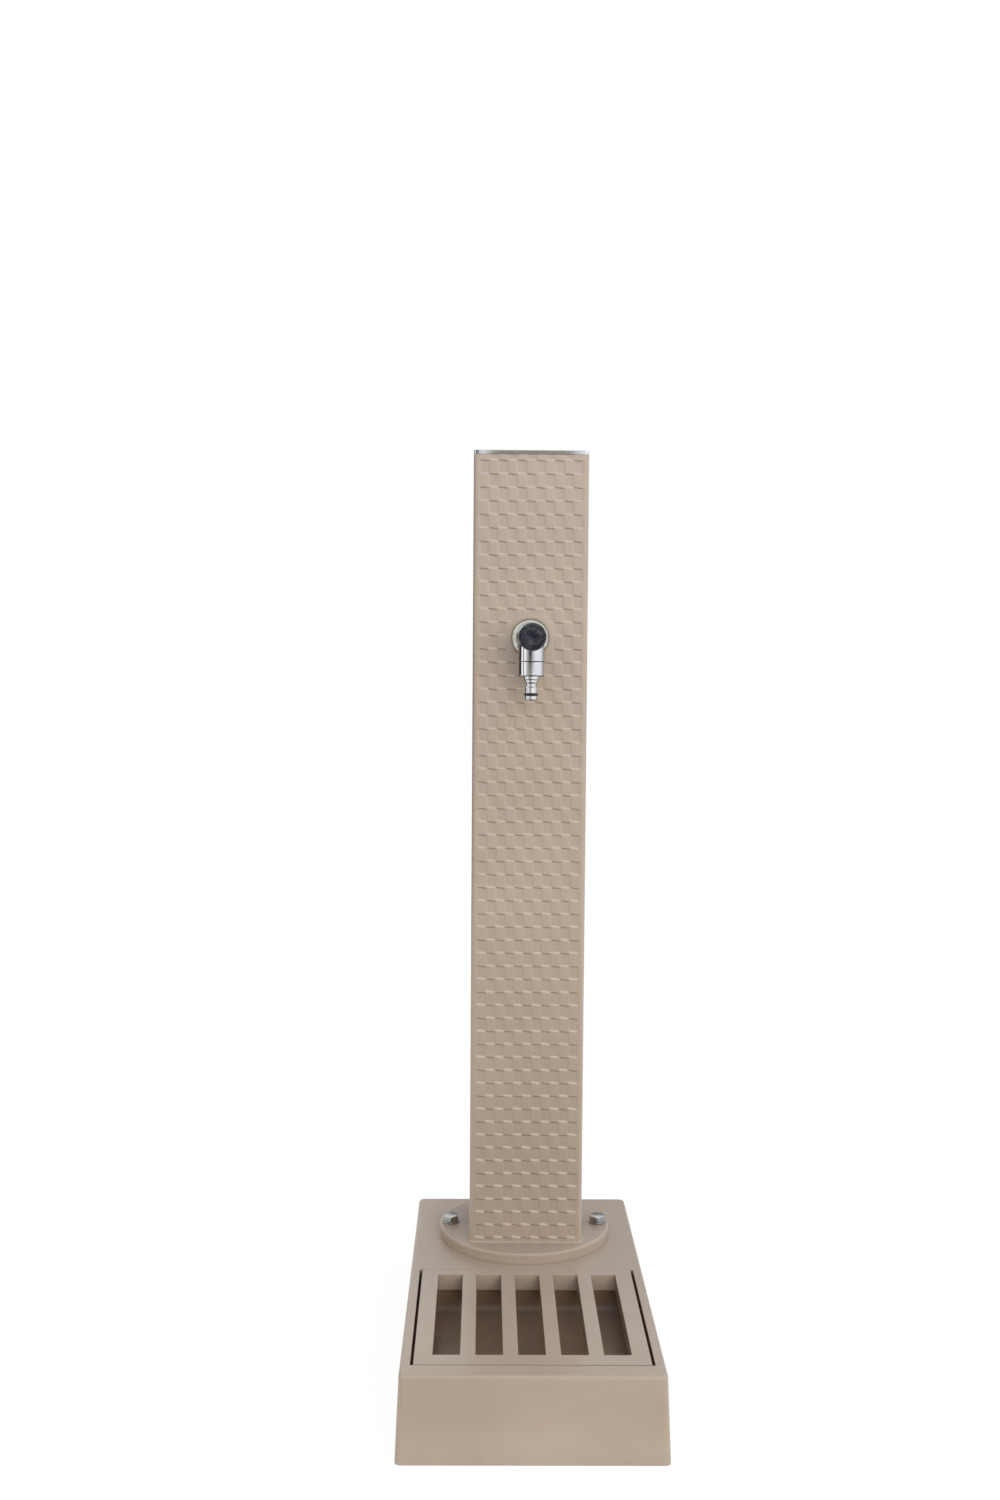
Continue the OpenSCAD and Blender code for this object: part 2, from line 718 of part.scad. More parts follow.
module tap_elbow() {
    color(brass) difference() {
        union() {
            on_tap_axis(-elbow_leg_a) cylinder(r = elbow_r, h = elbow_leg_a - post_t, $fn = 64);
            translate([0, pipe_y, tap_z]) elbow_corner(elbow_r);
            translate([0, pipe_y, tap_z - leg_l]) cylinder(r = leg_r, h = leg_l, $fn = 64);
        }
        on_tap_axis(-stub_in - cut) cylinder(r = thread_r + running, h = stub_in + cut, $fn = 64);
        on_tap_axis(-elbow_leg_a) cylinder(r = water_r, h = elbow_leg_a - stub_in, $fn = 48);
        translate([0, pipe_y, tap_z - leg_l]) cylinder(r = water_r, h = leg_l, $fn = 48);
        translate([0, pipe_y, tap_z - leg_l - cut])
            cylinder(r = pipe_r + slip, h = socket_depth + cut, $fn = 64);
    }
}

module supply_pipe() {
    z0 = inlet_z + leg_l - socket_depth + pipe_end_gap;
    z1 = tap_z - leg_l + socket_depth - pipe_end_gap;
    color(pipe_white) translate([0, pipe_y, z0]) ring(pipe_r, pipe_r - pipe_t, z1 - z0);
}

module lower_elbow() {
    color(brass) difference() {
        union() {
            translate([0, pipe_y, inlet_z]) elbow_corner(leg_r);
            translate([0, pipe_y, inlet_z]) cylinder(r = leg_r, h = leg_l, $fn = 64);
            on_inlet_axis(pipe_y) cylinder(r = leg_r, h = leg_l, $fn = 64);
        }
        translate([0, pipe_y, inlet_z]) cylinder(r = water_r, h = leg_l, $fn = 48);
        translate([0, pipe_y, inlet_z + leg_l - socket_depth])
            cylinder(r = pipe_r + slip, h = socket_depth + cut, $fn = 64);
        on_inlet_axis(pipe_y) cylinder(r = water_r, h = leg_l, $fn = 48);
        on_inlet_axis(pipe_y + leg_l - socket_depth)
            cylinder(r = pipe_r + slip, h = socket_depth + cut, $fn = 64);
    }
}

module inlet_pipe() {
    y0 = pipe_y + leg_l - socket_depth + pipe_end_gap;
    y1 = inlet_inner_y + socket_depth - pipe_end_gap;
    color(pipe_white) on_inlet_axis(y0) ring(pipe_r, pipe_r - pipe_t, y1 - y0);
}

module inlet_connector() {
    inlet_len = post_back + inlet_hex_t + inlet_thread_l - inlet_inner_y;
    color(brass) difference() {
        union() {
            on_inlet_axis(inlet_inner_y) cylinder(r = thread_r, h = inlet_len, $fn = 64);
            on_inlet_axis(post_back) cylinder(r = inlet_af / 2 / cos(30), h = inlet_hex_t, $fn = 6);
        }
        on_inlet_axis(inlet_inner_y - cut) cylinder(r = water_r, h = inlet_len + 2 * cut, $fn = 48);
        on_inlet_axis(inlet_inner_y - cut) cylinder(r = pipe_r + slip, h = socket_depth + cut, $fn = 64);
    }
}

module inlet_locknut() {
    color(brass) on_inlet_axis(post_back - post_t - inlet_nut_t)
        hex_ring(inlet_af, thread_r + running, inlet_nut_t);
}

base_shell();
basin_tray();
grate();
drain_body();
drain_strainer();
drain_gasket();
drain_nut();
flange_plate();
flange_bolts();
flange_washers();
flange_nuts();
post_tube();
post_cap();
rosette();
tap_body();
seat_seal();
cartridge_sleeve();
fixed_disc();
moving_disc();
spindle();
spindle_o_ring();
knob();
knob_screw();
knob_cap();
outlet_washer();
hose_adaptor();
nipple_o_ring();
tap_elbow();
supply_pipe();
lower_elbow();
inlet_pipe();
inlet_connector();
inlet_locknut();
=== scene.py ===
"""A garden tap post on its base with a basin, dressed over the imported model.

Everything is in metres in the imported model's frame: the front faces -Y, +Z runs up the post, and
the origin is the middle of the base's outline on the ground. The sections follow the object as it
is put together, from the base up to the tap, and end with the stage, the light and the camera.
"""

import math

import bmesh
import bpy
import numpy as np
from mathutils import Matrix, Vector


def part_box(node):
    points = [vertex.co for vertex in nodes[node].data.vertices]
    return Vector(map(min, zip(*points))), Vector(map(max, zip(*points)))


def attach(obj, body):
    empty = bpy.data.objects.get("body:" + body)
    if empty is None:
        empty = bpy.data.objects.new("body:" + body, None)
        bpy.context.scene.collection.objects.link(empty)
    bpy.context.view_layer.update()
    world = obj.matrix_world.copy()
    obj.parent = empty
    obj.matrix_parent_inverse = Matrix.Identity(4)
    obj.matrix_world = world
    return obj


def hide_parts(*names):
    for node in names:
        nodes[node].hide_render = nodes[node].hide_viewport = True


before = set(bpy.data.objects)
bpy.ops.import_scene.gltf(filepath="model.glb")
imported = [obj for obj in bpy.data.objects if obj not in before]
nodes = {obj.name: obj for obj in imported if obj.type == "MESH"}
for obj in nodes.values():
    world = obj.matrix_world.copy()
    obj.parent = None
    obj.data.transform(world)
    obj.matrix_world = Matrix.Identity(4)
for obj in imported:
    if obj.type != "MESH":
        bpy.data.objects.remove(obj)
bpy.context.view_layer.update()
mm = 0.001


# The base: a low box of folded sheet, open below, whose sides lean in a little towards the deck.
# Its corners and top edge are rounded by the folding, and it is powder coated in a warm taupe.

base_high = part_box("base_shell")[1]
base_half = np.array([base_high.x, base_high.y])
base_h = base_high.z
base_lean = 3.5 * mm
base_sheet = 4 * mm
base_edge_r = 3 * mm
base_corner_r = 6 * mm
opening_half = np.array([119.0, 117.0]) * mm
opening_y = -101.5 * mm
opening_corner_r = 1 * mm
opening_edge_r = 0.4 * mm
hold = 0.4 * mm
taupe = (182, 166, 148)
# Colour of the paint's dust film, also of the painted shade and darkening on the post.
grime_and_shade_colour = (104, 84, 66)
# Pale colour of the painted highlight on the upward slopes of the relief's tiles.
painted_highlight_colour = (214, 202, 188)
dust_film = 0.06
paint_scales = (7.0, 620.0)
paint_tones = (0.95, 1.04)
paint_roughness = (0.34, 0.48)
# Upright faces are darker towards the deck, up to this height.
low_zone_top = 0.5
low_darkening_share = 0.07
pressed_share = 0.03
# Share of the painted shade under each raised tile of the post's relief.
under_tile_shade_share = 0.6
# Share of the painted highlight on the tiles' upward slopes.
lit_top_share = 0.42
# The grate's front wall is painted dark, as shade in the gap round it, this far back from its front.
gap_wall = 0.8 * mm
gap_shade_share = 0.9


def piece(name, points, faces, crease_deg=32):
    """A closed mesh object from an array of points and an array of faces. Points that coincide,
    such as a pole's, are merged, the faces are turned outwards, and edges are drawn sharp where
    two faces meet at more than crease_deg."""
    mesh = bpy.data.meshes.new(name)
    mesh.from_pydata(points.tolist(), [], faces.tolist())
    shape = bmesh.new()
    shape.from_mesh(mesh)
    bmesh.ops.remove_doubles(shape, verts=shape.verts, dist=1e-7)
    bmesh.ops.dissolve_degenerate(shape, edges=shape.edges, dist=1e-7)
    bmesh.ops.recalc_face_normals(shape, faces=shape.faces)
    shape.to_mesh(mesh)
    shape.free()
    mesh.polygons.foreach_set("use_smooth", np.ones(len(mesh.polygons), bool))
    mesh.set_sharp_from_angle(angle=math.radians(crease_deg))
    made = bpy.data.objects.new(name, mesh)
    bpy.context.scene.collection.objects.link(made)
    return made


def skin(name, rings, closed=True, crease_deg=32):
    """A piece from rings of points, each closed on itself. A quad joins points j and j + 1 of a
    ring to points j + 1 and j of the next ring, and closed joins the last ring to the first."""
    count, around = rings.shape[:2]
    here = np.arange(count if closed else count - 1)[:, None] * around
    j = np.arange(around)[None, :]
    after, right = (here + around) % (count * around), (j + 1) % around
    quads = np.stack([here + j, here + right, after + right, after + j], axis=-1)
    return piece(name, rings.reshape(-1, 3), quads.reshape(-1, 4), crease_deg)


def oblong(half, r, y=0.0, z=0.0, corner=9, side=7):
    """One ring of points round a rectangle with round corners, at height z about (0, y). half is
    half its width and half its depth, or one number for both. In each corner the angle runs
    through 90 degrees at radius r about a centre set in by r from both sides. The straight sides
    between them are cut into equal steps, after a first one of hold."""
    quarter = np.radians(np.linspace(0, 90, corner))
    turns = np.radians([0, 90, 180, 270])
    signs = np.array([[1, 1], [-1, 1], [-1, -1], [1, -1]])
    angle = turns[:, None] + quarter
    arcs = (signs * (half - r))[:, None] + r * np.stack([np.cos(angle), np.sin(angle)], axis=-1)
    last, following = arcs[:, -1:], np.roll(arcs, -1, axis=0)[:, :1]
    length = np.linalg.norm(following - last, axis=-1, keepdims=True)
    near = np.minimum(hold / np.maximum(length, 1e-9), 0.2)
    share = np.linspace(0, 1, side)[None, :, None] * (1 - 2 * near) + near
    sides = last + (following - last) * share
    ring = np.concatenate([arcs, sides], axis=1).reshape(-1, 2)
    return np.column_stack([ring + [0, y], np.full(len(ring), z)])


def held(rows, closed=True):
    """The rows of points, with one more row close to each end of every wide gap between two rows.
    It lies hold away from that end on the straight line across the gap, so that a small rounding
    doesn't bend the shading of the flat side beside it."""
    rows = np.asarray(rows, float)
    following = np.roll(rows, -1, axis=0)
    gap = np.linalg.norm(following - rows, axis=-1).reshape(len(rows), -1).max(axis=1)
    wide = gap > 5 * hold
    wide[-1] &= closed
    share = (hold / np.maximum(gap, hold)).reshape(-1, *[1] * (rows.ndim - 1))
    near = (following - rows) * share
    kept = np.stack([np.ones(len(rows), bool), wide, wide], axis=1)
    return np.stack([rows, rows + near, following - near], axis=1)[kept]


def quarter_turn(r, count, start=0, end=90):
    """The points of an arc of radius r between two angles in degrees, as pairs: how far each lies
    in from the side, r times one less the cosine, and down from the top, r times one less the
    sine."""
    angle = np.radians(np.linspace(start, end, count))
    return list(zip(r * (1 - np.cos(angle)), r * (1 - np.sin(angle))))


def base_cover():
    """The rings climb the leaning side, turn over the top edge on an arc of base_edge_r, cross the
    deck to its opening, go down through it, and come back one sheet's thickness further in."""
    rings = [oblong(base_half, base_corner_r)]
    top_half = base_half - base_lean
    for inward, down in quarter_turn(base_edge_r, 9):
        half = top_half - inward + (base_lean * down / base_h if inward == 0 else 0)
        rings.append(oblong(half, base_corner_r - 0.5 * inward, z=base_h - down))
    for outward, down in quarter_turn(opening_edge_r, 5, 90, 0):
        corner_r = opening_corner_r + outward
        rings.append(oblong(opening_half + outward, corner_r, opening_y, base_h - down))
    under = base_h - base_sheet
    rings += [oblong(opening_half, opening_corner_r, opening_y, under),
              oblong(top_half - base_sheet, opening_corner_r, z=under),
              oblong(base_half - base_sheet, opening_corner_r)]
    return skin("base_cover", held(rings))


def colour(red, green, blue):
    """A colour written as on a screen, 0 to 255, turned into the linear values that shaders take:
    each share c below 0.04045 becomes c / 12.92, and any other ((c + 0.055) / 1.055) to the 2.4."""
    share = np.array([red, green, blue]) / 255
    linear = np.where(share < 0.04045, share / 12.92, ((share + 0.055) / 1.055) ** 2.4)
    return (*linear.tolist(), 1.0)


def fill(tree, socket, value):
    """Links another node's output to a socket, or sets the socket to a plain value. A colour of
    three numbers is one written as on a screen."""
    if isinstance(value, bpy.types.NodeSocket):
        tree.links.new(value, socket)
    elif socket.type == "RGBA" and len(value) == 3:
        socket.default_value = colour(*value)
    else:
        socket.default_value = value


def place(tree, kind, links=None, **settings):
    """Adds one shader node. settings are its own properties, and links fills its sockets, by name
    or number."""
    added = tree.nodes.new("ShaderNode" + kind)
    for key, value in settings.items():
        setattr(added, key, value)
    for key, value in (links or {}).items():
        fill(tree, added.inputs[key], value)
    return added


def wire(tree, shader, **sockets):
    """Fills the shader's sockets: Base_Color=... is its Base Color, and so on."""
    for key, value in sockets.items():
        fill(tree, shader.inputs[key.replace("_", " ")], value)


def calc(tree, operation, *values):
    """The output of a Math node that does the operation on one or two values."""
    return place(tree, "Math", dict(enumerate(values)), operation=operation).outputs[0]


def ramp(tree, value, low, high, to_low=0.0, to_high=1.0):
    """A value carried from low..high to to_low..to_high, and held at both ends."""
    return place(tree, "MapRange", {0: value, 1: low, 2: high, 3: to_low, 4: to_high}).outputs[0]


def blend_colours(tree, share, first, second):
    """The colour output of a Mix node: share 0 gives the first colour and 1 the second."""
    return place(tree, "Mix", {0: share, 6: first, 7: second}, data_type="RGBA").outputs[2]


def parts_of(tree, kind):
    """X, Y and Z of a point's place (Object) or of the way that its face looks (Normal)."""
    return place(tree, "SeparateXYZ", {0: place(tree, "TexCoord").outputs[kind]}).outputs


def raised(tree, height, depth):
    """The normal of a surface whose height map stands depth metres proud where it is 1."""
    links = {"Height": height, "Distance": depth, "Strength": 1.0}
    return place(tree, "Bump", links).outputs["Normal"]


def make_surface_group():
    """The surface that every finish here shares: slow blotches a hand wide, fine grain, and a film
    of dust that is thicker where the blotches are. Tone and Film run from 0 to 1 about 0.5."""
    group = bpy.data.node_groups.new("surface", "ShaderNodeTree")
    ends = {"INPUT": ("Blotch Scale", "Grain Scale"), "OUTPUT": ("Tone", "Film", "Grain")}
    for end, keys in ends.items():
        for key in keys:
            group.interface.new_socket(key, in_out=end, socket_type="NodeSocketFloat")
    given = group.nodes.new("NodeGroupInput").outputs
    result = group.nodes.new("NodeGroupOutput").inputs
    blotch = {"Vector": place(group, "TexCoord").outputs["Object"], "Scale": given["Blotch Scale"]}
    grain = {**blotch, "Scale": given["Grain Scale"], "Detail": 2.0}
    slow = place(group, "TexNoise", {**blotch, "Detail": 3.0})
    smear = place(group, "TexNoise", {**blotch, "Detail": 7.0, "Roughness": 0.72, "Distortion": 1.2})
    fill(group, result["Tone"], slow.outputs["Fac"])
    fill(group, result["Film"], ramp(group, smear.outputs["Fac"], 0.38, 0.72))
    fill(group, result["Grain"], place(group, "TexNoise", grain).outputs["Fac"])
    return group


surface_group = make_surface_group()


def new_material(name):
    """A new material, its node tree and its shader."""
    material = bpy.data.materials.new(name)
    material.use_nodes = True
    return material, material.node_tree, material.node_tree.nodes["Principled BSDF"]


def finish_of(name, blotch, grain):
    """A new material with its shader, and the shared surface group set to this finish's scales."""
    material, tree, shader = new_material(name)
    scales = {"Blotch Scale": blotch, "Grain Scale": grain}
    return material, tree, shader, place(tree, "Group", scales, node_tree=surface_group).outputs


def make_paint(name, grime_and_shade, side_wall_shade=0.0, gap_y=None):
    """Powder coat: an even colour with slow blotches, the fine orange peel of the baked powder, and
    a thin film of dust. Upright faces are darker towards the deck, most just above it and not at
    all half a metre above the ground. Three attributes of the woven post, 0 elsewhere, make it
    darker where it is pressed in, add painted shade under each raised tile, and add a pale painted
    highlight where a tile's top slopes outwards, half as much again just above the deck. The third
    argument is how much painted shade darkens the faces that look left or right, as the walls of
    the grate's slots do. gap_y is where the plate's front wall stands, which is painted dark as
    shade in the gap from there to gap_wall behind it: over the top 2 mm, fading in the next 2."""
    material, tree, shader, surface = finish_of(name, *paint_scales)
    darker, paler = ([c * tone for c in colour(*taupe)[:3]] + [1.0] for tone in paint_tones)
    coat = blend_colours(tree, ramp(tree, surface["Tone"], 0.35, 0.65), darker, paler)
    spot, facing = parts_of(tree, "Object"), parts_of(tree, "Normal")
    upright = ramp(tree, calc(tree, "ABSOLUTE", facing["Z"]), 0.5, 0.9, 1.0, 0.0)
    # Upright faces are darker towards the deck, most just above it.
    darkened_low = ramp(tree, spot["Z"], base_h, low_zone_top, low_darkening_share, 0.0)
    for part in (upright, ramp(tree, spot["Z"], base_h, base_h + 2 * mm),
                 ramp(tree, surface["Film"], 0.0, 1.0, 0.75, 1.15)):
        darkened_low = calc(tree, "MULTIPLY", darkened_low, part)
    layers = [(ramp(tree, surface["Film"], 0.0, 1.0, 0.0, dust_film), grime_and_shade), (darkened_low, grime_and_shade)]
    # Painted shade on the faces that look left or right.
    if side_wall_shade:
        sideways = calc(tree, "ABSOLUTE", facing["X"])
        layers.append((ramp(tree, sideways, 0.5, 0.9, 0.0, side_wall_shade), grime_and_shade))
    # Painted shade in the gap between the grate's front wall and the deck.
    if gap_y is not None:
        in_gap = ramp(tree, spot["Y"], gap_y + 0.5 * gap_wall, gap_y + gap_wall, gap_shade_share, 0.0)
        gap_shade_fade = ramp(tree, spot["Z"], base_h - 4 * mm, base_h - 2 * mm, 0.15, 1.0)
        gap_shade_fade = calc(tree, "MULTIPLY", gap_shade_fade, upright)
        layers.append((calc(tree, "MULTIPLY", in_gap, gap_shade_fade), grime_and_shade))
    # The post's attributes: the first darkens it where it is pressed in, the second is painted shade under
    # the raised tiles, the third a pale painted highlight on the tiles' tops.
    pressed, shaded_under, lit_top = (place(tree, "Attribute", attribute_name=key).outputs["Fac"]
                                   for key in ("pressed", "shaded_under", "lit_top"))
    layers += [(ramp(tree, pressed, 0.3, 1.0, 0.0, pressed_share), grime_and_shade),
               (ramp(tree, shaded_under, 0.1, 0.7, 0.0, under_tile_shade_share), grime_and_shade),
               (calc(tree, "MULTIPLY", ramp(tree, lit_top, 0.1, 0.7, 0.0, lit_top_share),
                     ramp(tree, spot["Z"], base_h, low_zone_top, 1.5, 1.0)), painted_highlight_colour)]
    for share, over in layers:
        coat = blend_colours(tree, share, coat, over)
    gloss = ramp(tree, surface["Film"], 0.0, 1.0, *paint_roughness)
    wire(tree, shader, Base_Color=coat, Roughness=gloss, Normal=raised(tree, surface["Grain"], 1.2e-5),
         Coat_Weight=0.3, Coat_Roughness=0.14, Specular_IOR_Level=0.5)
    return material


def dress(obj, material, slot=None, *stands_for, body="post_and_basin"):
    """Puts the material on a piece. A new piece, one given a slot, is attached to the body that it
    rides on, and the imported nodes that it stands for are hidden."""
    obj.data.materials.clear()
    obj.data.materials.append(material)
    if slot:
        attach(obj, body)
    if stands_for:
        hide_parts(*stands_for)


taupe_paint = make_paint("taupe_paint", grime_and_shade_colour)
dress(base_cover(), taupe_paint, "taupe_paint", "base_shell")


# The basin: a deep-drawn tray that hangs under the deck's opening. A ledge round its top carries
# the grate, its corners are rounded for cleaning, and water has left it darker and duller.

grate_low, grate_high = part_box("grate")
tray_sheet = 3 * mm
well_corner_r = (6 * mm, 7.5 * mm)
outer_corner_r = (9 * mm, 8 * mm)
ledge_corner_r = (1 * mm, 2 * mm)
ledge_z = grate_low.z
ledge_w = 8 * mm
ledge_fillet_r = 1.2 * mm
ledge_edge_r = 1 * mm
collar_corner_r = 3 * mm
basin_z = 43 * mm
basin_fillet_r = 7 * mm
drain_y = -156.5 * mm
drain_hole_r = 13.5 * mm
basin_shade_z = (48 * mm, ledge_z)
basin_floor_colour = (156, 131, 104)
basin_top_colour = (154, 131, 107)
lime_colour = (128, 118, 104)
grit_colour = (52, 44, 36)


def fillet_rings(half, corner_r, r, z):
    """The rings of a wall that turns into a floor at height z on an arc of radius r."""
    return [oblong(half - inward, corner_r, opening_y, z + up) for inward, up in quarter_turn(r, 6)]


def drain_ring(r, z, like):
    """A circle of radius r round the drain's axis, with each point in line with the same point of
    the ring named by like, so that the floor between them has straight edges."""
    away = like[:, :2] - [0, drain_y]
    unit = away / np.linalg.norm(away, axis=1, keepdims=True)
    return np.column_stack([unit * r + [0, drain_y], np.full(len(like), z)])


def basin_pan():
    """The rings go down inside the collar, in over the ledge, down the well, over its fillet and
    across the floor to the drain, then back outside, one sheet's thickness away."""
    well = opening_half - ledge_w
    outer, collar = well + tray_sheet, opening_half + tray_sheet
    under_ledge, under_floor = ledge_z - tray_sheet, basin_z - tray_sheet
    under_deck = base_h - base_sheet
    rings = [oblong(opening_half, ledge_corner_r[0], opening_y, under_deck)]
    rings += fillet_rings(opening_half, ledge_corner_r[1], ledge_fillet_r, ledge_z)
    rings += [oblong(well + outward, well_corner_r[0], opening_y, ledge_z - down)
              for outward, down in quarter_turn(ledge_edge_r, 4, 90, 0)]
    rings += fillet_rings(well, well_corner_r[1], basin_fillet_r, basin_z)
    for z, radii in ((basin_z, (3, 1)), (under_floor, (1, 3))):
        rings += [drain_ring(k * drain_hole_r, z, rings[-1]) for k in radii]
    outside = fillet_rings(outer, outer_corner_r[0], basin_fillet_r + tray_sheet, under_floor)
    rings += [*outside[::-1], oblong(outer, outer_corner_r[1], opening_y, under_ledge),
              oblong(collar, collar_corner_r, opening_y, under_ledge),
              oblong(collar, collar_corner_r, opening_y, under_deck)]
    return skin("basin_pan", held(rings), crease_deg=40)


def make_basin_paint():
    """The same coat where water stands: browner and duller, with the lime rings that drying
    puddles leave, which are bands of a cell pattern, and with specks of grit."""
    material, tree, shader, surface = finish_of("basin_paint", 16.0, 800.0)
    shade = ramp(tree, parts_of(tree, "Object")["Z"], *basin_shade_z)
    coat = blend_colours(tree, shade, basin_floor_colour, basin_top_colour)
    spot = place(tree, "TexCoord").outputs["Object"]
    puddles = place(tree, "TexVoronoi", {"Vector": spot, "Scale": 22.0}, feature="SMOOTH_F1")
    tide = ramp(tree, puddles.outputs["Distance"], 0.30, 0.36)
    dried = ramp(tree, calc(tree, "MULTIPLY", tide, surface["Film"]), 0.0, 1.0, 0.0, 0.30)
    coat = blend_colours(tree, dried, coat, lime_colour)
    coat = blend_colours(tree, ramp(tree, surface["Grain"], 0.60, 0.74, 0.0, 0.5), coat, grit_colour)
    gloss = ramp(tree, surface["Film"], 0.0, 1.0, 0.4, 0.65)
    wire(tree, shader, Base_Color=coat, Roughness=gloss, Normal=raised(tree, surface["Grain"], 3e-5),
         Coat_Weight=0.1, Coat_Roughness=0.12, Specular_IOR_Level=0.3)
    return material


dress(basin_pan(), make_basin_paint(), "taupe_paint_inside", "basin_tray")


# The drain: a zinc-plated body dropped through the basin's floor on a rubber gasket, with a small
# chromed strainer. A nut from below pulls it tight, and a waste hose goes on its plain spigot.

drain_profile_mm = [(10, 10), (12.5, 10), (12.5, 31), (13.2, 31), (13.2, 44.5), (22, 44.5), (22, 47),
                    (11.5, 47), (11.5, 45.5), (10, 45.5)]
pipe_pitch = 1.814 * mm
pipe_thread_depth = 0.9 * mm
drain_thread_z = (31.4 * mm, 43.6 * mm)
drain_thread_root_r = 12.8 * mm
glancing_tint = (0.5, 0.5, 0.5, 1.0)
film_dulling = 0.22
# Dark colour painted on metal faces that look down, as a reflection of the dark ground.
dark_reflection_colour = (52, 46, 40)


def eased(outline, r, steps=4):
    """A closed outline of (radius, height) corners in metres, with each corner turned into a short
    arc: it starts r before the corner, ends r after it, and bends along a quadratic curve between.
    r is cut to a third of the shorter side."""
    corner = np.asarray(outline, float)
    before = np.roll(corner, 1, axis=0) - corner
    after = np.roll(corner, -1, axis=0) - corner
    reach = np.minimum(np.linalg.norm(before, axis=1), np.linalg.norm(after, axis=1)) / 3
    reach = np.minimum(reach, r)[:, None]
    start = corner + before / np.linalg.norm(before, axis=1, keepdims=True) * reach
    end = corner + after / np.linalg.norm(after, axis=1, keepdims=True) * reach
    t = np.linspace(0, 1, steps + 1)[None, :, None]
    return ((1 - t) ** 2 * start[:, None] + 2 * t * (1 - t) * corner[:, None]
            + t ** 2 * end[:, None]).reshape(-1, 2)


def stepped(outline, low, high, step):
    """The outline with extra points every step metres between two heights, for a thread."""
    rows = []
    for here, following in zip(outline, np.roll(outline, -1, axis=0)):
        inside = min(here[1], following[1]) < high and max(here[1], following[1]) > low
        upright = abs(following[0] - here[0]) < 1e-6
        count = max(1, round(abs(following[1] - here[1]) / step)) if inside and upright else 1
        rows.append(here + (following - here) * np.arange(count)[:, None] / count)
    return np.concatenate(rows)


def full_turn(count):
    """That many angles round the axis, in equal steps from 0."""
    return np.linspace(0, 2 * math.pi, count, endpoint=False)


def helix(z, angle, pitch):
    """A thread's depth from 0 to 1: a triangle wave of z / pitch less the share of the turn."""
    return np.abs((z / pitch - angle / (2 * math.pi)) % 1 * 2 - 1)


def round_about(r, z, angle):
    """Points about the Z axis: r times the angle's cosine and sine, at height z."""
    return np.stack([r * np.cos(angle), r * np.sin(angle), z + 0 * angle], axis=-1)


def aimed(points, axis):
    """Points made along Z, turned so that Z runs forwards (-Y), backwards (Y) or stays (Z)."""
    x, y, z = np.moveaxis(points, -1, 0)
    return np.stack({"Z": (x, y, z), "-Y": (x, -z, y), "Y": (-x, z, y)}[axis], axis=-1)


def turned(name, outline, centre, axis="Z", around=96, thread=None, crease_deg=32):
    """A piece turned on a lathe: the closed outline of (radius, length) points goes round its axis,
    which starts at centre and runs as in aimed. A thread is (start, end, pitch, depth, least
    radius): there each point beyond that radius moves in by depth times helix, which fades in over
    half a pitch at both ends."""
    outline, angle, cut = held(outline), full_turn(around), 0.0
    if thread:
        start, end, pitch, depth, least_r = thread
        outline = stepped(outline, start, end, pitch / 8)
        r, along = outline[:, :1], outline[:, 1:]
        fade = np.clip(np.minimum(along - start, end - along) / (pitch / 2), 0, 1)
        cut = depth * helix(along, angle, pitch) * fade * (r > least_r)
    points = round_about(outline[:, :1] - cut, outline[:, 1:], angle)
    return skin(name, aimed(points, axis) + centre, crease_deg=crease_deg)


def make_metal(name, tone, roughness, blotch, grain, tarnish_and_shade, share, peel,
               side_shade_share=0.0, under_reflection_share=0.0):
    """Bare or plated metal: its colour, a dull film in soft blotches, tarnished or left by dried
    water, and a very fine grain. The side share adds the film's colour as painted shade on faces
    that don't look up, and the under share lays a painted dark reflection of the ground on faces
    that look down. Seen at a glancing angle it is darker."""
    material, tree, shader, surface = finish_of(name, blotch, grain)
    facing_up = parts_of(tree, "Normal")["Z"]
    film = ramp(tree, surface["Film"], 0.2, 1.0, 0.0, share)
    # Painted shade on faces that don't look up.
    film = calc(tree, "ADD", film, ramp(tree, facing_up, 0.3, 0.8, side_shade_share, 0.0))
    coat = blend_colours(tree, film, tone, tarnish_and_shade)
    # A painted dark reflection of the ground on faces that look down.
    coat = blend_colours(tree, ramp(tree, facing_up, -0.65, -0.2, under_reflection_share, 0.0), coat, dark_reflection_colour)
    gloss = ramp(tree, surface["Film"], 0.0, 1.0, roughness, roughness + film_dulling * share)
    wire(tree, shader, Base_Color=coat, Roughness=gloss, Normal=raised(tree, surface["Grain"], peel),
         Metallic=1.0, Specular_Tint=glancing_tint)
    return material


def make_rubber():
    """Black rubber with a fine mould grain and a grey bloom of dust."""
    material, tree, shader, surface = finish_of("black_rubber", 60.0, 2600.0)
    bloom = ramp(tree, surface["Film"], 0.0, 1.0, 0.0, 0.25)
    wire(tree, shader, Base_Color=blend_colours(tree, bloom, (24, 24, 25), (70, 68, 64)),
         Roughness=ramp(tree, surface["Tone"], 0.3, 0.7, 0.42, 0.6),
         Normal=raised(tree, surface["Grain"], 1.5e-5))
    return material


# The zinc's faces that don't look up take its dark film colour as painted shade, so the bolt heads' sides
# are darker than their tops.
zinc = make_metal("zinc_plate", (204, 205, 205), 0.24, 70.0, 1500.0, (84, 78, 72), 0.35, 1e-5,
                  side_shade_share=0.35)
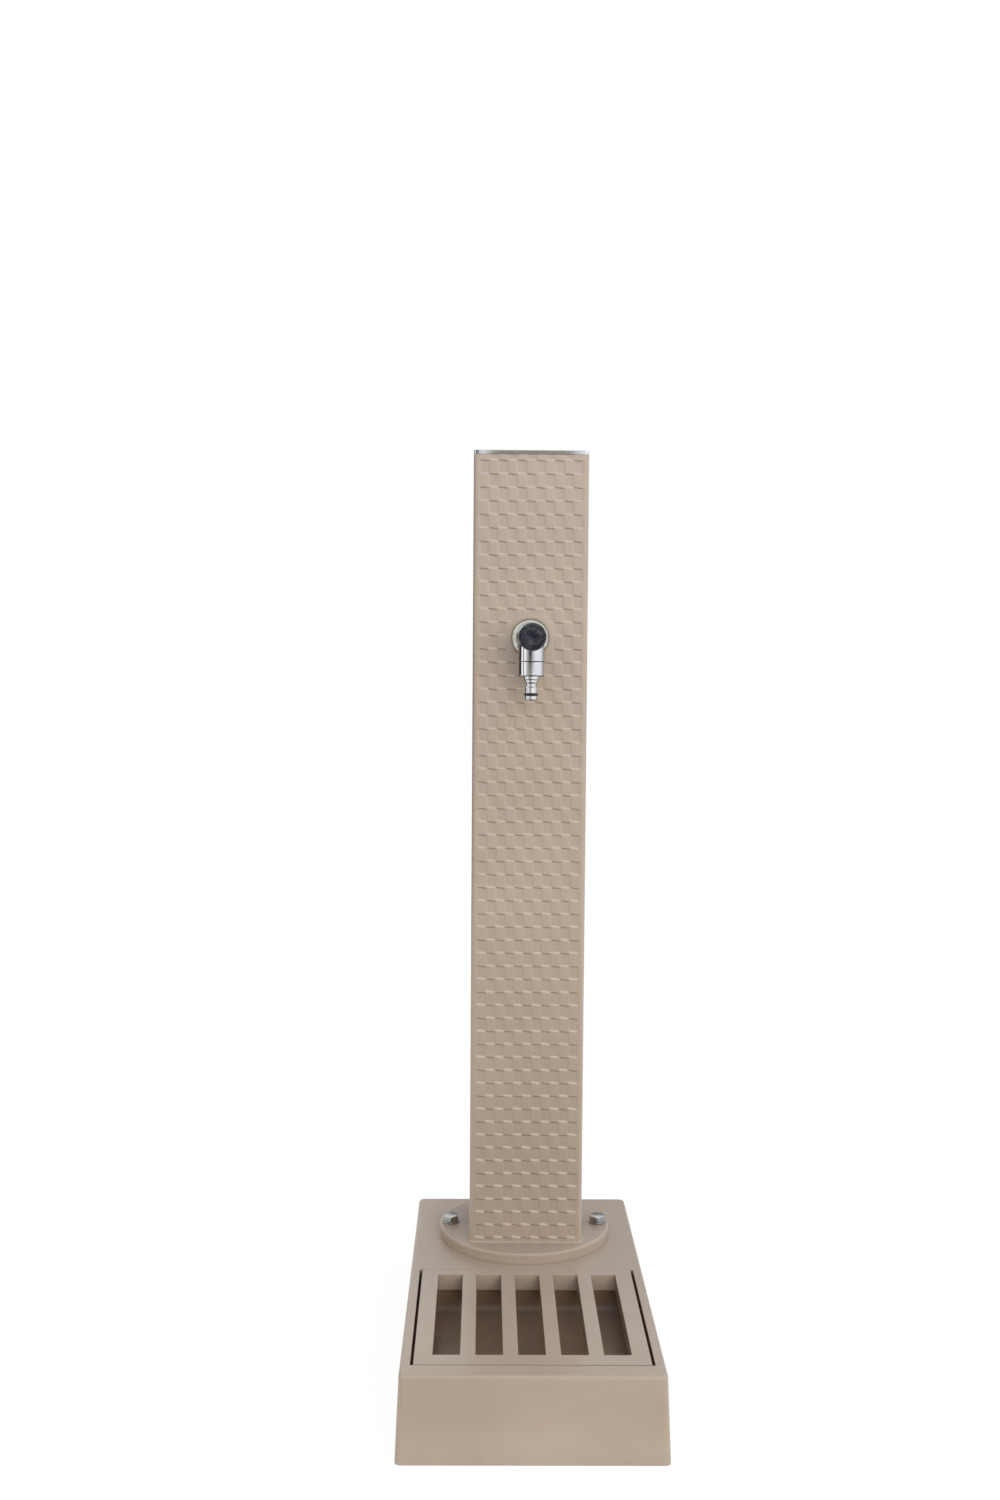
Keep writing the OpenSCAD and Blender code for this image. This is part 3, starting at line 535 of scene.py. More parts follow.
# The chrome's down-facing faces carry a painted dark reflection of the ground.
chrome = make_metal("chrome_plate", (236, 238, 240), 0.05, 45.0, 900.0, (170, 166, 158), 0.10, 1e-6,
                    under_reflection_share=0.8)
rubber = make_rubber()
drain_outline = eased(np.array(drain_profile_mm) * mm, 0.5 * mm)
drain_thread = (*drain_thread_z, pipe_pitch, pipe_thread_depth, drain_thread_root_r)
drain_spout = turned("drain_spout", drain_outline, (0, drain_y, 0), thread=drain_thread)
dress(drain_spout, zinc, "zinc_steel", "drain_body")
dress(nodes["drain_strainer"], chrome)
dress(nodes["drain_gasket"], rubber)
dress(nodes["drain_nut"], zinc)


# The grate: one plate with five long slots, lying loose on the basin's ledge and level with the
# deck. It wears the deck's coat, and its edges are broken so that it can be lifted out by hand.

slot_count = 5
slot_w = 27 * mm
slot_pitch = 42.2 * mm
slot_y = (-196.25 * mm, 0.75 * mm)
grate_edge_r = 0.4 * mm
# The grate's dust film colour, also the painted shade on its slot walls and in its front gap.
slot_grime_and_shade_colour = (58, 45, 36)
slot_wall_shade_share = 0.6


def grate_plate():
    """A flat lattice whose lines are the plate's sides and the slots' sides. The cells in a slot
    are left out, every other cell gets a top and a bottom, and a wall stands wherever a cell that
    is there meets one that isn't. A bevel then rounds all the edges."""
    slot_x = (np.arange(slot_count) - (slot_count - 1) / 2) * slot_pitch
    slot_sides = [slot_x - slot_w / 2, slot_x + slot_w / 2]
    x = np.sort(np.concatenate([[grate_low.x, grate_high.x], *slot_sides]))
    y = np.array([grate_low.y, *slot_y, grate_high.y])
    flat = np.stack(np.meshgrid(x, y, indexing="ij"), axis=-1).reshape(-1, 2)
    count = len(flat)
    points = np.concatenate([np.column_stack([flat, np.full(count, z)])
                             for z in (grate_low.z, grate_high.z)])
    cells = np.ones((len(x) + 1, len(y) + 1), bool)
    cells[[0, -1], :] = cells[:, [0, -1]] = False
    cells[2:-1:2, 2] = False
    at = np.arange(count).reshape(len(x), len(y))
    i, j = np.nonzero(cells[1:-1, 1:-1])
    foot = np.stack([at[i, j], at[i + 1, j], at[i + 1, j + 1], at[i, j + 1]], axis=-1)
    i, j = np.nonzero(cells[1:, 1:-1] != cells[:-1, 1:-1])
    across = np.stack([at[i, j], at[i, j + 1]], axis=-1)
    i, j = np.nonzero(cells[1:-1, 1:] != cells[1:-1, :-1])
    along = np.stack([at[i, j], at[i + 1, j]], axis=-1)
    edge = np.concatenate([across, along])
    walls = np.concatenate([edge, edge[:, ::-1] + count], axis=1)
    made = piece("slotted_grate", points, np.concatenate([foot, foot + count, walls]))
    bevel = made.modifiers.new("broken edges", "BEVEL")
    bevel.width = grate_edge_r
    bevel.segments = 3
    bevel.limit_method = "ANGLE"
    bevel.harden_normals = True
    return made


grate_paint = make_paint("grate_paint", slot_grime_and_shade_colour, slot_wall_shade_share, grate_low.y)
dress(grate_plate(), grate_paint, "taupe_paint", "grate", body="grate")


# The flange: a thick disc with a rounded rim that carries the post. It lies on the deck behind
# the basin, and the post's foot is welded to it all round and painted over.

flange_low, flange_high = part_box("flange_plate")
flange_r = (flange_high.x - flange_low.x) / 2
post_low, post_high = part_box("post_tube")
post_y = (post_low.y + post_high.y) / 2
post_half = (post_high.x - post_low.x) / 2
flange_rim_r = 2.8 * mm
weld_leg = 2.2 * mm
weld_ripple = 5.2 * mm
weld_fullness = 0.86


def flange_disc():
    """A turned disc: its outline goes from the middle of the underside out to the rim, up and over
    on an arc of flange_rim_r, and back to the middle of the top."""
    height = flange_high.z - flange_low.z
    outline = [(0, 0), (flange_r - 0.6 * mm, 0), (flange_r - 0.15 * mm, 0.15 * mm),
               (flange_r, 0.6 * mm)]
    outline += [(flange_r - inward, height - down) for inward, down in quarter_turn(flange_rim_r, 11)]
    outline += [(r, height) for r in np.linspace(flange_r - flange_rim_r, 0, 6)[1:]]
    return turned("flange_disc", outline, (0, post_y, flange_low.z), around=160)


def foot_weld():
    """A bead that fills the corner between the post and the flange. Its section is a quarter round
    of leg weld_leg, carried round the post's outline, and the leg swells and thins by a tenth
    over every weld_ripple of its run, as a weld's ripples do. The round stands at weld_fullness
    of the leg."""
    inner = oblong(post_half - 1.2 * mm, 4 * mm, post_y, corner=13, side=120)
    outer = oblong(post_half, 5 * mm, post_y, corner=13, side=120)
    step = np.linalg.norm(np.roll(outer, -1, axis=0) - outer, axis=1)
    run = np.concatenate([[0], np.cumsum(step)[:-1]])
    leg = weld_leg * (1 + 0.10 * np.sin(run * 2 * math.pi / weld_ripple))[:, None]
    away = outer - inner
    away /= np.linalg.norm(away, axis=1, keepdims=True)
    up = np.array([0, 0, 1.0])
    foot, top = (flange_high.z - 0.3 * mm) * up, flange_high.z * up
    rings = [inner + foot, outer + away * leg + foot]
    for angle in np.radians([8, 30, 52, 74]):
        out = away * math.cos(angle) + up * math.sin(angle)
        rings.append(outer + top + weld_fullness * leg * out)
    rings.append(inner + top + leg * up)
    return skin("foot_weld", held(rings), crease_deg=60)


dress(flange_disc(), taupe_paint, "taupe_paint", "flange_plate")
dress(foot_weld(), taupe_paint, "taupe_paint")


# The two bolts that hold the flange and the deck together, M10 with hexagon heads, a washer under
# each head and each nut. All of it is zinc plated.

bolt_x = 87 * mm
bolt_af = 17 * mm
bolt_head_z = (100 * mm, 106.6 * mm)
bolt_end_z = 64 * mm
bolt_r = 5 * mm
bolt_pitch = 1.5 * mm
bolt_neck = 3 * mm
bolt_thread_depth = 0.85 * mm
bolt_around = 120
nut_z = (72 * mm, 80 * mm)
washer_r = (5.25 * mm, 10 * mm)
washer_t = 2 * mm
chamfer_share = 0.95
chamfer_slope = math.tan(math.radians(30))


def hexagon(low, high, flats, bore, both=False):
    """The points of a turned-off hexagon, ring by ring from its bore's foot out and up and back. At
    each angle the side lies at half the flats over the cosine of the angle to the nearest flat,
    and outside chamfer_share of half the flats the end falls away at 30 degrees, which leaves the
    curved edge of a machined nut. both gives the foot the same edge."""
    angle = full_turn(bolt_around)
    side = flats / 2 / np.cos((angle + math.pi / 6) % (math.pi / 3) - math.pi / 6)
    face_r = chamfer_share * flats / 2
    drop = (side - face_r) * chamfer_slope
    rings = [(bore, low), (face_r, low), (side, low + drop * both), (side, high - drop),
             (face_r, high), (bore, high)]
    return np.stack([round_about(r, z, angle) for r, z in rings])


def bolt(name, x):
    """A head whose underside runs into a threaded shank: the head's rings, then the shank's, whose
    radius falls by bolt_thread_depth times helix, faded at the shank's plain neck and its tip."""
    angle, under_head = full_turn(bolt_around), bolt_head_z[0]
    head = hexagon(*bolt_head_z, bolt_af, 0.0)[::-1]
    z = np.arange(under_head, bolt_end_z + mm, -bolt_pitch / 7)[:, None]
    fade = np.clip((under_head - bolt_neck - z) / mm, 0, 1) * np.clip((z - bolt_end_z - mm) / mm, 0, 1)
    shank = round_about(bolt_r - bolt_thread_depth * helix(z, angle, bolt_pitch) * fade, z, angle)
    tip = [round_about(r, bolt_end_z, angle) for r in (bolt_r - 0.9 * mm, 0)]
    return skin(name, np.concatenate([head[:-1], shank, tip]) + [x, post_y, 0], closed=False)


def washer(name, x, low):
    """A pressed washer, turned from a rectangle with its corners eased."""
    bore, rim, high = *washer_r, low + washer_t
    outline = eased([(bore, low), (rim, low), (rim, high), (bore, high)], 0.4 * mm)
    return turned(name, outline, (x, post_y, 0), around=72)


for side, x in (("left", -bolt_x), ("right", bolt_x)):
    dress(bolt(f"flange_bolt_{side}", x), zinc, "zinc_steel", "flange_bolts")
    for level, low in (("deck", bolt_head_z[0] - washer_t), ("under", nut_z[1])):
        dress(washer(f"{level}_washer_{side}", x, low), zinc, "zinc_steel", "flange_washers")
    nut = hexagon(*nut_z, bolt_af, bolt_r + 0.05 * mm, both=True) + [x, post_y, 0]
    dress(skin(f"flange_nut_{side}", nut), zinc, "zinc_steel", "flange_nuts")


# The post: a square tube with a woven relief pressed into its four faces. Each face has eleven
# columns of upright tiles, raised and sunk by turns, between smooth margins at the corners.

tile_columns = 11
tile_rows = 62
weave_margin = 6.75 * mm
tile_w = (2 * post_half - 2 * weave_margin) / tile_columns
tile_h = 15 * mm
first_row_h = 5.3 * mm
press_depth = 0.8 * mm
post_corner_r = 5 * mm
post_wall = 3 * mm
post_end = 0.8 * mm
tap_z = 791 * mm
inlet_z = 150 * mm
smooth_pad_r = 26 * mm
inlet_pad_r = 19 * mm
pad_fade = 3 * mm
tile_lean = 1.2 * mm
across_steps = [0.0, 0.08, 0.17, 0.83, 0.92]
across_sharpness = 5.0
upward_offsets = np.array([-1.2, -0.7, 0.15, 0.9, 2.0, 2.6]) * mm
under_edge = (-0.65 * mm, 0.1 * mm)
over_edge = (-0.5 * mm, 2.0 * mm)
# How fast the painted shade under raised tiles and the painted highlight on their tops grow with the tilt
# of a face.
shade_per_tilt = -1.6
highlight_per_tilt = 2.2


def eased_step(value, span):
    """Rises from 0 to 1 over the span, level at both ends: 3 times the square of the share of the
    way less 2 times its cube."""
    share = np.clip((value - span[0]) / (span[1] - span[0]), 0, 1)
    return share * share * (3 - 2 * share)


def strip_height(parity, z, foot):
    """How high one column stands at each height z: 1 on raised tiles, 0 on sunk ones. Where a
    raised tile begins it climbs over the short span under_edge about the boundary, and where it
    ends it falls over the longer span over_edge, so its top is a slope that catches the light."""
    row = np.floor((z - foot) / tile_h + 0.5)
    from_boundary = z - foot - row * tile_h
    climb, fall = eased_step(from_boundary, under_edge), 1 - eased_step(from_boundary, over_edge)
    return np.where((parity + row) % 2 == 0, climb, fall)


def woven_tube():
    """One closed skin. Its outside is a grid of heights by places round the tube. The height of a
    point is a blend of its own column's strip_height and the next column's: the share of its own is
    half, plus half the hyperbolic tangent of across_sharpness times the sine of the half turn
    across the tile. A tile's left end lies higher than its right end by tile_lean, so its points go
    up by tile_lean times half less the share of the way across. Round the tap and the inlet it is
    smooth, and the relief grows over pad_fade. Its inside is the square bore, whose points are the
    outside's end rows drawn out by a twentieth and cut off at the bore's sides."""
    flat = post_half - post_corner_r
    first = -post_half + weave_margin
    across = first + tile_w * (np.arange(tile_columns)[:, None] + across_steps).reshape(-1)
    across = np.concatenate([[-flat], across, [-first, flat]])
    quarter = np.radians(np.linspace(-90, 0, 6))[1:-1]
    outward = np.column_stack([np.cos(quarter), np.sin(quarter)])
    straight = np.column_stack([across, np.full(len(across), -post_half)])
    edge = np.concatenate([straight, [flat, -flat] + post_corner_r * outward])
    inward = np.concatenate([np.tile([0.0, 1.0], (len(across), 1)), -outward])
    place_x = np.concatenate([across, np.full(len(outward), 1.0)])
    foot, top = post_low.z + first_row_h - tile_h, post_high.z
    z = (foot + tile_h * np.arange(tile_rows)[:, None] + upward_offsets).reshape(-1)
    z = z[(z > post_low.z + post_end) & (z < top - post_end)]
    z = np.concatenate([[post_low.z], z, [top]])
    share = (place_x - first) / tile_w
    column = np.floor(share + 1e-6)
    within = share - column
    beside = column + np.where(within < 0.5, -1, 1)
    own_share = 0.5 + 0.5 * np.abs(np.tanh(across_sharpness * np.sin(math.pi * within)))
    strips = [strip_height(parity, z, foot) for parity in (0, 1)]

    def heights(columns):
        """The grid of strip_height for the column numbers given, and 1 outside the weave."""
        made = np.ones((len(z), len(columns)))
        for parity in (0, 1):
            here = (columns % 2 == parity) & (columns >= 0) & (columns < tile_columns)
            made[:, here] = strips[parity][:, None]
        return made

    sunk = press_depth * (1 - own_share * heights(column) - (1 - own_share) * heights(beside))
    lean = tile_lean * (0.5 - within) * (within > 1e-6) * (column >= 0) * (column < tile_columns)
    height = z[:, None] + lean * ((z > post_low.z) & (z < top))[:, None]
    faces = []
    pads = ((tap_z, smooth_pad_r), (0, 0), (inlet_z, inlet_pad_r), (0, 0))
    for turn, (pad_z, pad_r) in enumerate(pads):
        away = np.hypot(place_x, height - pad_z)
        pressed = sunk * np.clip((away - pad_r) / pad_fade, 0, 1)
        x, y = (edge[:, axis] + inward[:, axis] * pressed for axis in (0, 1))
        c, s = round(math.cos(turn * math.pi / 2)), round(math.sin(turn * math.pi / 2))
        faces.append(np.stack([c * x - s * y, s * x + c * y + post_y, height], axis=-1))
    outside = np.concatenate(faces, axis=1)
    bore_half = post_half - post_wall
    bore = outside[[-1, 0]]
    centred = bore[..., :2] - [0, post_y]
    bore[..., :2] = np.clip(centred * 1.05, -bore_half, bore_half) + [0, post_y]
    return skin("woven_post", np.concatenate([outside, bore]), crease_deg=60)


def keep_dirt_shade_and_highlight_places(obj):
    """Stores three shares on each point: pressed, how far it lies below the post's faces in parts
    of the press depth, one for painted shade, by how much its normal looks down, and one for a
    painted highlight, by how much it looks up. All are 0 at the corners, and the last two are 0 at the
    post's ends too."""
    mesh = obj.data
    spot, normal = (np.empty(len(mesh.vertices) * 3, np.float32) for _ in range(2))
    mesh.vertices.foreach_get("co", spot)
    mesh.vertex_normals.foreach_get("vector", normal)
    spot, normal = spot.reshape(-1, 3), normal.reshape(-1, 3)
    reach = np.abs(spot[:, :2] - [0, post_y])
    on_face = reach.min(axis=1) < post_half - weave_margin
    depth = np.clip((post_half - reach.max(axis=1)) / press_depth, 0, 1) * on_face
    from_middle = np.abs(spot[:, 2] - (post_low.z + post_high.z) / 2)
    tilt = normal[:, 2] * (on_face & (from_middle < (post_high.z - post_low.z) / 2 - mm))
    # The second share places painted shade under the raised tiles, the third a painted highlight on their
    # tops.
    for name, share in (("pressed", depth), ("shaded_under", np.clip(shade_per_tilt * tilt, 0, 1)),
                        ("lit_top", np.clip(highlight_per_tilt * tilt, 0, 1))):
        mesh.attributes.new(name, "FLOAT", "POINT").data.foreach_set("value", share.astype(np.float32))


woven_post = woven_tube()
keep_dirt_shade_and_highlight_places(woven_post)
dress(woven_post, taupe_paint, "taupe_paint", "post_tube")


# The pad: a smooth round boss on the post's front, where the relief leaves room for the tap. It is
# pressed with the relief, stands a little proud, and wears the post's coat.

pad_r = 27 * mm
pad_proud = 0.45 * mm
post_face_y = post_low.y


def tap_pad():
    """A shallow turned disc, flat in the middle, whose edge sinks into the tiles on a slope."""
    outline = [(0, -2 * mm), (pad_r, -2 * mm), (pad_r, -0.4 * mm), (pad_r - 0.5 * mm, 0.1 * mm),
               (pad_r - 1.6 * mm, 0.36 * mm), (pad_r - 3.2 * mm, pad_proud), (0, pad_proud)]
    return turned("tap_pad", outline, (0, post_face_y, tap_z), "-Y", around=128, crease_deg=60)


dress(tap_pad(), taupe_paint, "taupe_paint")


# The cap: a square lid of chromed metal with round corners. It is held without screws, by a plug
# under it that fits the tube's bore.

cap_low, cap_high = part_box("post_cap")
cap_t = 5 * mm
cap_edge_r = 0.25 * mm
cap_crown = 0.1 * mm
plug_half = post_half - post_wall - 0.1 * mm
plug_wall = 2.5 * mm
plug_corner_r = 2 * mm


def square_ring(half, r, z):
    """A ring round a square with round corners, about the post's axis."""
    return oblong(half, r, post_y, z, corner=11, side=5)


def cap_lid():
    """Rings from the middle of the top out and over its rounded edge, down the side, in to the
    plug, down it and up its inside, and back to the middle. The top is crowned: it falls by
    cap_crown times the square of the share of the way out."""
    top, lid_foot, inside = cap_high.z, cap_high.z - cap_t, plug_half - plug_wall
    rings = [square_ring(max(half, 1e-9), min(post_corner_r, half),
                         top - cap_crown * (half / post_half) ** 2)
             for half in np.linspace(0, post_half - 4 * mm, 9)]
    rings += [square_ring(post_half - inward, post_corner_r - inward, top - cap_crown - down)
              for inward, down in quarter_turn(cap_edge_r, 6, 90, 0)]
    rings += [square_ring(post_half, post_corner_r, lid_foot + 0.3 * mm),
              square_ring(post_half - 0.3 * mm, post_corner_r, lid_foot)]
    rings += [square_ring(half, plug_corner_r, z) for half, z in (
        (plug_half, lid_foot), (plug_half, cap_low.z), (inside, cap_low.z), (inside, lid_foot + mm))]
    rings.append(square_ring(1e-9, 1e-9, lid_foot + mm))
    return skin("cap_lid", held(rings, False), closed=False)


dress(cap_lid(), chrome, "chrome", "post_cap")


# The supply: a brass inlet at the back, a composite pipe up the post, and an elbow behind the tap.
# Only the inlet's hexagon and thread show; the rest is inside the post.

inlet_y = (165.5 * mm, 215 * mm)
inlet_hex_y = (193 * mm, 199 * mm)
half_inch_r = 10.48 * mm
half_inch_root_r = 10.2 * mm
inlet_bore_r = 6 * mm
inlet_socket_r = 8.1 * mm
inlet_socket_end = inlet_y[0] + 14 * mm
inlet_af = 27 * mm


def inlet_union():
    """A turned tube with a chamfered end, a thread outside the post and a pipe socket inside."""
    start, end = inlet_y
    outline = [(inlet_socket_r, start), (half_inch_r, start), (half_inch_r, end - 1.2 * mm),
               (half_inch_r - 1.2 * mm, end), (inlet_bore_r, end),
               (inlet_bore_r, inlet_socket_end), (inlet_socket_r, inlet_socket_end)]
    thread = (inlet_hex_y[1] + mm, end - 0.8 * mm, pipe_pitch, pipe_thread_depth, half_inch_root_r)
    return turned("inlet_union", eased(outline, 0.2 * mm), (0, 0, inlet_z), "Y", thread=thread)


def make_plastic(name, tone, dusty, roughness, blotch, grain, share, peel):
    """Moulded plastic or fired clay: an even colour with slight mottling, a little dust, and a
    fine mould texture that shows only in the sheen."""
    material, tree, shader, surface = finish_of(name, blotch, grain)
    film = ramp(tree, surface["Film"], 0.0, 1.0, 0.0, share)
    wire(tree, shader, Base_Color=blend_colours(tree, film, tone, dusty),
         Roughness=ramp(tree, surface["Film"], 0.0, 1.0, roughness, roughness + 0.15),
         Normal=raised(tree, surface["Grain"], peel))
    return material


brass = make_metal("turned_brass", (206, 172, 104), 0.24, 60.0, 1800.0, (122, 92, 52), 0.55, 8e-6)
pipe_white = make_plastic("pipe_plastic", (226, 226, 220), (170, 164, 150), 0.42, 30.0, 700.0,
                          0.3, 1e-5)
ceramic = make_plastic("ground_ceramic", (235, 230, 220), (205, 198, 186), 0.16, 90.0, 1500.0,
                       0.4, 3e-6)
dress(inlet_union(), brass, "brass", "inlet_connector")
inlet_hex = aimed(hexagon(*inlet_hex_y, inlet_af, half_inch_r - 0.2 * mm, both=True), "Y")
dress(skin("inlet_hexagon", inlet_hex + [0, 0, inlet_z]), brass, "brass")
for name in ("tap_elbow", "lower_elbow", "inlet_locknut"):
    dress(nodes[name], brass)
for name in ("supply_pipe", "inlet_pipe"):
    dress(nodes[name], pipe_white)


# The tap body: a chromed casting screwed through the post behind a bell-shaped rosette. A level
# barrel holds the cartridge, and the outlet turns down from it through a ball of its own radius.

tap_reach = 46 * mm
barrel_r = 13 * mm
barrel_end = 62 * mm
barrel_fillet = 0.7 * mm
fillet_sink = 0.22
shank_end = -18 * mm
outlet_r = 14.25 * mm
outlet_bore_r = 6 * mm
outlet_y = post_face_y - tap_reach
outlet_end_z = 765 * mm
outlet_thread_l = 11.5 * mm
rosette_low, rosette_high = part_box("rosette")
rosette_r = (rosette_high.x - rosette_low.x) / 2
rosette_t = rosette_high.y - rosette_low.y
rosette_rim = 1.5 * mm
collar_r = (4.1 * mm, 12.5 * mm)
collar_t = 5 * mm


def rosette_bell():
    """Its outline rises from the rim in a quarter ellipse and ends in a thin lip on the barrel."""
    lip = barrel_r + 0.6 * mm
    outline = [(half_inch_r, pad_proud), (rosette_r - 0.4 * mm, pad_proud), (rosette_r, 0.9 * mm)]
    outline += [(rosette_r - (rosette_r - lip) * inward, rosette_t - (rosette_t - rosette_rim) * down)
                for inward, down in quarter_turn(1.0, 16)]
    outline += [(barrel_r + 0.1 * mm, rosette_t), (half_inch_r, rosette_t - mm)]
    return turned("rosette_bell", outline, (0, post_face_y, tap_z), "-Y", around=144, crease_deg=50)


def tap_barrel():
    """The level barrel is turned round the tap's axis. Round the outlet it swells to the ball's
    radius, because a ball on both axes is round about either. It eases in and out by a small
    fillet: half the sum of both radii and of the root of their difference squared plus
    barrel_fillet squared, less fillet_sink times barrel_fillet."""
    reach = np.linspace(-outlet_r, outlet_r, 61)
    ball = np.sqrt(np.maximum(outlet_r ** 2 - reach ** 2, 0))
    swollen = 0.5 * (ball + barrel_r + np.hypot(ball - barrel_r, barrel_fillet))
    swollen -= fillet_sink * barrel_fillet
    middle = np.column_stack([np.maximum(swollen, barrel_r), tap_reach + reach])
    middle = middle[middle[:, 1] < barrel_end - 1.2 * mm].tolist()
    behind = rosette_t - 2 * mm
    outline = [(0, shank_end), (half_inch_r, shank_end), (half_inch_r, behind), (barrel_r, behind),
               *middle, (barrel_r, barrel_end - 0.5 * mm),
               (barrel_r - 0.15 * mm, barrel_end - 0.15 * mm), (barrel_r - 0.5 * mm, barrel_end),
               (0, barrel_end)]
    return turned("tap_barrel", outline, (0, post_face_y, tap_z), "-Y", around=144, crease_deg=50)


def tap_outlet():
    """The upright outlet: the ball's upper half, the round barrel below it, and the threaded end
    that goes into the hose nipple's sleeve."""
    drop = outlet_end_z - tap_z
    thread_end = drop - outlet_thread_l
    outline = [(outlet_r - inward, outlet_r - down)
               for inward, down in quarter_turn(outlet_r, 25, 90, 0)]
    outline += [(outlet_r, -4 * mm), (outlet_r, drop + 0.12 * mm), (outlet_r - 0.12 * mm, drop),
                (half_inch_r, drop), (half_inch_r, thread_end), (outlet_bore_r, thread_end),
                (outlet_bore_r, -10 * mm), (0, -10 * mm)]
    return turned("tap_outlet", outline, (0, outlet_y, tap_z), around=144, crease_deg=50)


def front_collar():
    """The cartridge's collar, which closes the barrel under the knob."""
    hole, rim, end = *collar_r, barrel_end + collar_t
    outline = eased([(hole, barrel_end), (rim, barrel_end), (rim, end), (hole, end)], 0.5 * mm)
    return turned("front_collar", outline, (0, post_face_y, tap_z), "-Y")


dull_chrome = make_metal("dull_chrome", (212, 212, 203), 0.13, 60.0, 900.0, (140, 138, 124), 0.3, 2e-6)
dress(rosette_bell(), dull_chrome, "chrome", "rosette")
dress(tap_barrel(), chrome, "chrome", "tap_body")
dress(tap_outlet(), chrome, "chrome", "tap_body")
dress(front_collar(), chrome, "chrome")
for material, names in ((rubber, ("seat_seal", "spindle_o_ring", "outlet_washer", "nipple_o_ring")),
                        (brass, ("cartridge_sleeve", "spindle")),
                        (ceramic, ("fixed_disc", "moving_disc")), (zinc, ("knob_screw",))):
    for name in names:
        dress(nodes[name], material)


# The knob: a short round turning knob of glossy black plastic. A thin cap is pressed into its face
# over the screw, and leaves a fine ring round it. A quarter turn opens the tap.

knob_low, knob_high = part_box("knob")
knob_r = (knob_high.x - knob_low.x) / 2
knob_back_y = knob_high.y
knob_l = knob_high.y - knob_low.y
knob_wall = 2.5 * mm
knob_face_t = 5 * mm
knob_hub_r = 7 * mm
knob_cap_r = 10 * mm
knob_cap_rim = 0.5 * mm
knob_recess_r = knob_cap_r + 0.25 * mm
scratch_tilt = (0.0, 0.8, 0.0)
scratch_stretch = (150.0, 40.0, 1100.0)


def knob_shell():
    """A turned shell, open at the back round the collar, with a recess for the cap in its face."""
    inner_r, inner_end, recess = knob_r - knob_wall, knob_l - knob_face_t, knob_l - 1.2 * mm
    outline = eased([(0, 0), (knob_hub_r, 0), (knob_hub_r, inner_end), (inner_r, inner_end),
                     (inner_r, 0), (knob_r, 0), (knob_r, knob_l), (knob_recess_r, knob_l),
                     (knob_recess_r, recess), (0, recess)], 1.5 * mm, 6)
    return turned("knob_shell", outline, (0, knob_back_y, tap_z), "-Y", around=144, crease_deg=50)


def knob_cover():
    """The cap disc, crowned by a third of a millimetre, its rim rounded into the ring."""
    top, foot = knob_l - 0.05 * mm, knob_l - 1.4 * mm
    outline = [(r, top + 0.3 * mm * (1 - (r / knob_cap_r) ** 2))
               for r in np.linspace(0, knob_cap_r - knob_cap_rim, 9)]
    outline += [(knob_cap_r - inward, top - down)
                for inward, down in quarter_turn(knob_cap_rim, 6, 80, 0)]
    outline += [(knob_cap_r, foot), (0, foot)]
    return turned("knob_cover", outline, (0, knob_back_y, tap_z), "-Y", around=128, crease_deg=50)


def make_knob_black():
    """Glossy blue-black plastic, greyed by hands in soft patches, with a few pale scratches that
    are bands of stretched noise laid slantwise across the face."""
    material, tree, shader, surface = finish_of("knob_black", 75.0, 1500.0)
    spot = place(tree, "TexCoord").outputs["Object"]
    slanted = place(tree, "Mapping", {"Vector": spot, "Rotation": scratch_tilt}).outputs[0]
    drawn_out = place(tree, "Mapping", {"Vector": slanted, "Scale": scratch_stretch}).outputs[0]
    marks = place(tree, "TexNoise", {"Vector": drawn_out, "Scale": 1.0, "Detail": 1.0,
                                     "Distortion": 0.8})
    rubbed = ramp(tree, marks.outputs["Fac"], 0.68, 0.76)
    film = ramp(tree, surface["Tone"], 0.44, 0.64, 0.0, 0.6)
    greyed = blend_colours(tree, film, (28, 31, 42), (88, 92, 94))
    scratched = blend_colours(tree, ramp(tree, rubbed, 0.0, 1.0, 0.0, 0.5), greyed, (128, 128, 136))
    wire(tree, shader, Base_Color=scratched, Roughness=ramp(tree, rubbed, 0.0, 1.0, 0.14, 0.32),
         Normal=raised(tree, surface["Grain"], 3e-6), Coat_Weight=0.4, Coat_Roughness=0.06)
    return material


knob_black = make_knob_black()
dress(knob_shell(), knob_black, "black_plastic", "knob", body="tap_knob")
dress(knob_cover(), knob_black, "black_plastic", "knob_cap", body="tap_knob")


# The hose nipple: a sleeve that screws on the outlet and a nipple for click-on hose connectors,
# turned from one piece and chromed. A collar, a neck for the catches, and a barrel with its ring.

sleeve_top = 764.2 * mm
sleeve_foot = 749.2 * mm
sleeve_socket = (10.55 * mm, 751.6 * mm)
nipple_foot = 721.8 * mm
nipple_bore_r = 4.5 * mm
nipple_r = 6.85 * mm
neck_r = 5.95 * mm
nipple_collar_r = 8.8 * mm
ring_groove_z = (727.25 * mm, 729.95 * mm)
ring_groove_r = 5.35 * mm
seam_ring_r = 13.9 * mm


def seam_shade_ring():
    """A flat black ring put in the seam between the outlet and the sleeve, which stands for the shade in
    it and is seen as a fine dark line.
    """
    outline = eased([(half_inch_r, sleeve_top), (seam_ring_r, sleeve_top), (seam_ring_r, outlet_end_z),
                     (half_inch_r, outlet_end_z)], 0.1 * mm)
    return turned("seam_shade_ring", outline, (0, outlet_y, 0), around=144)


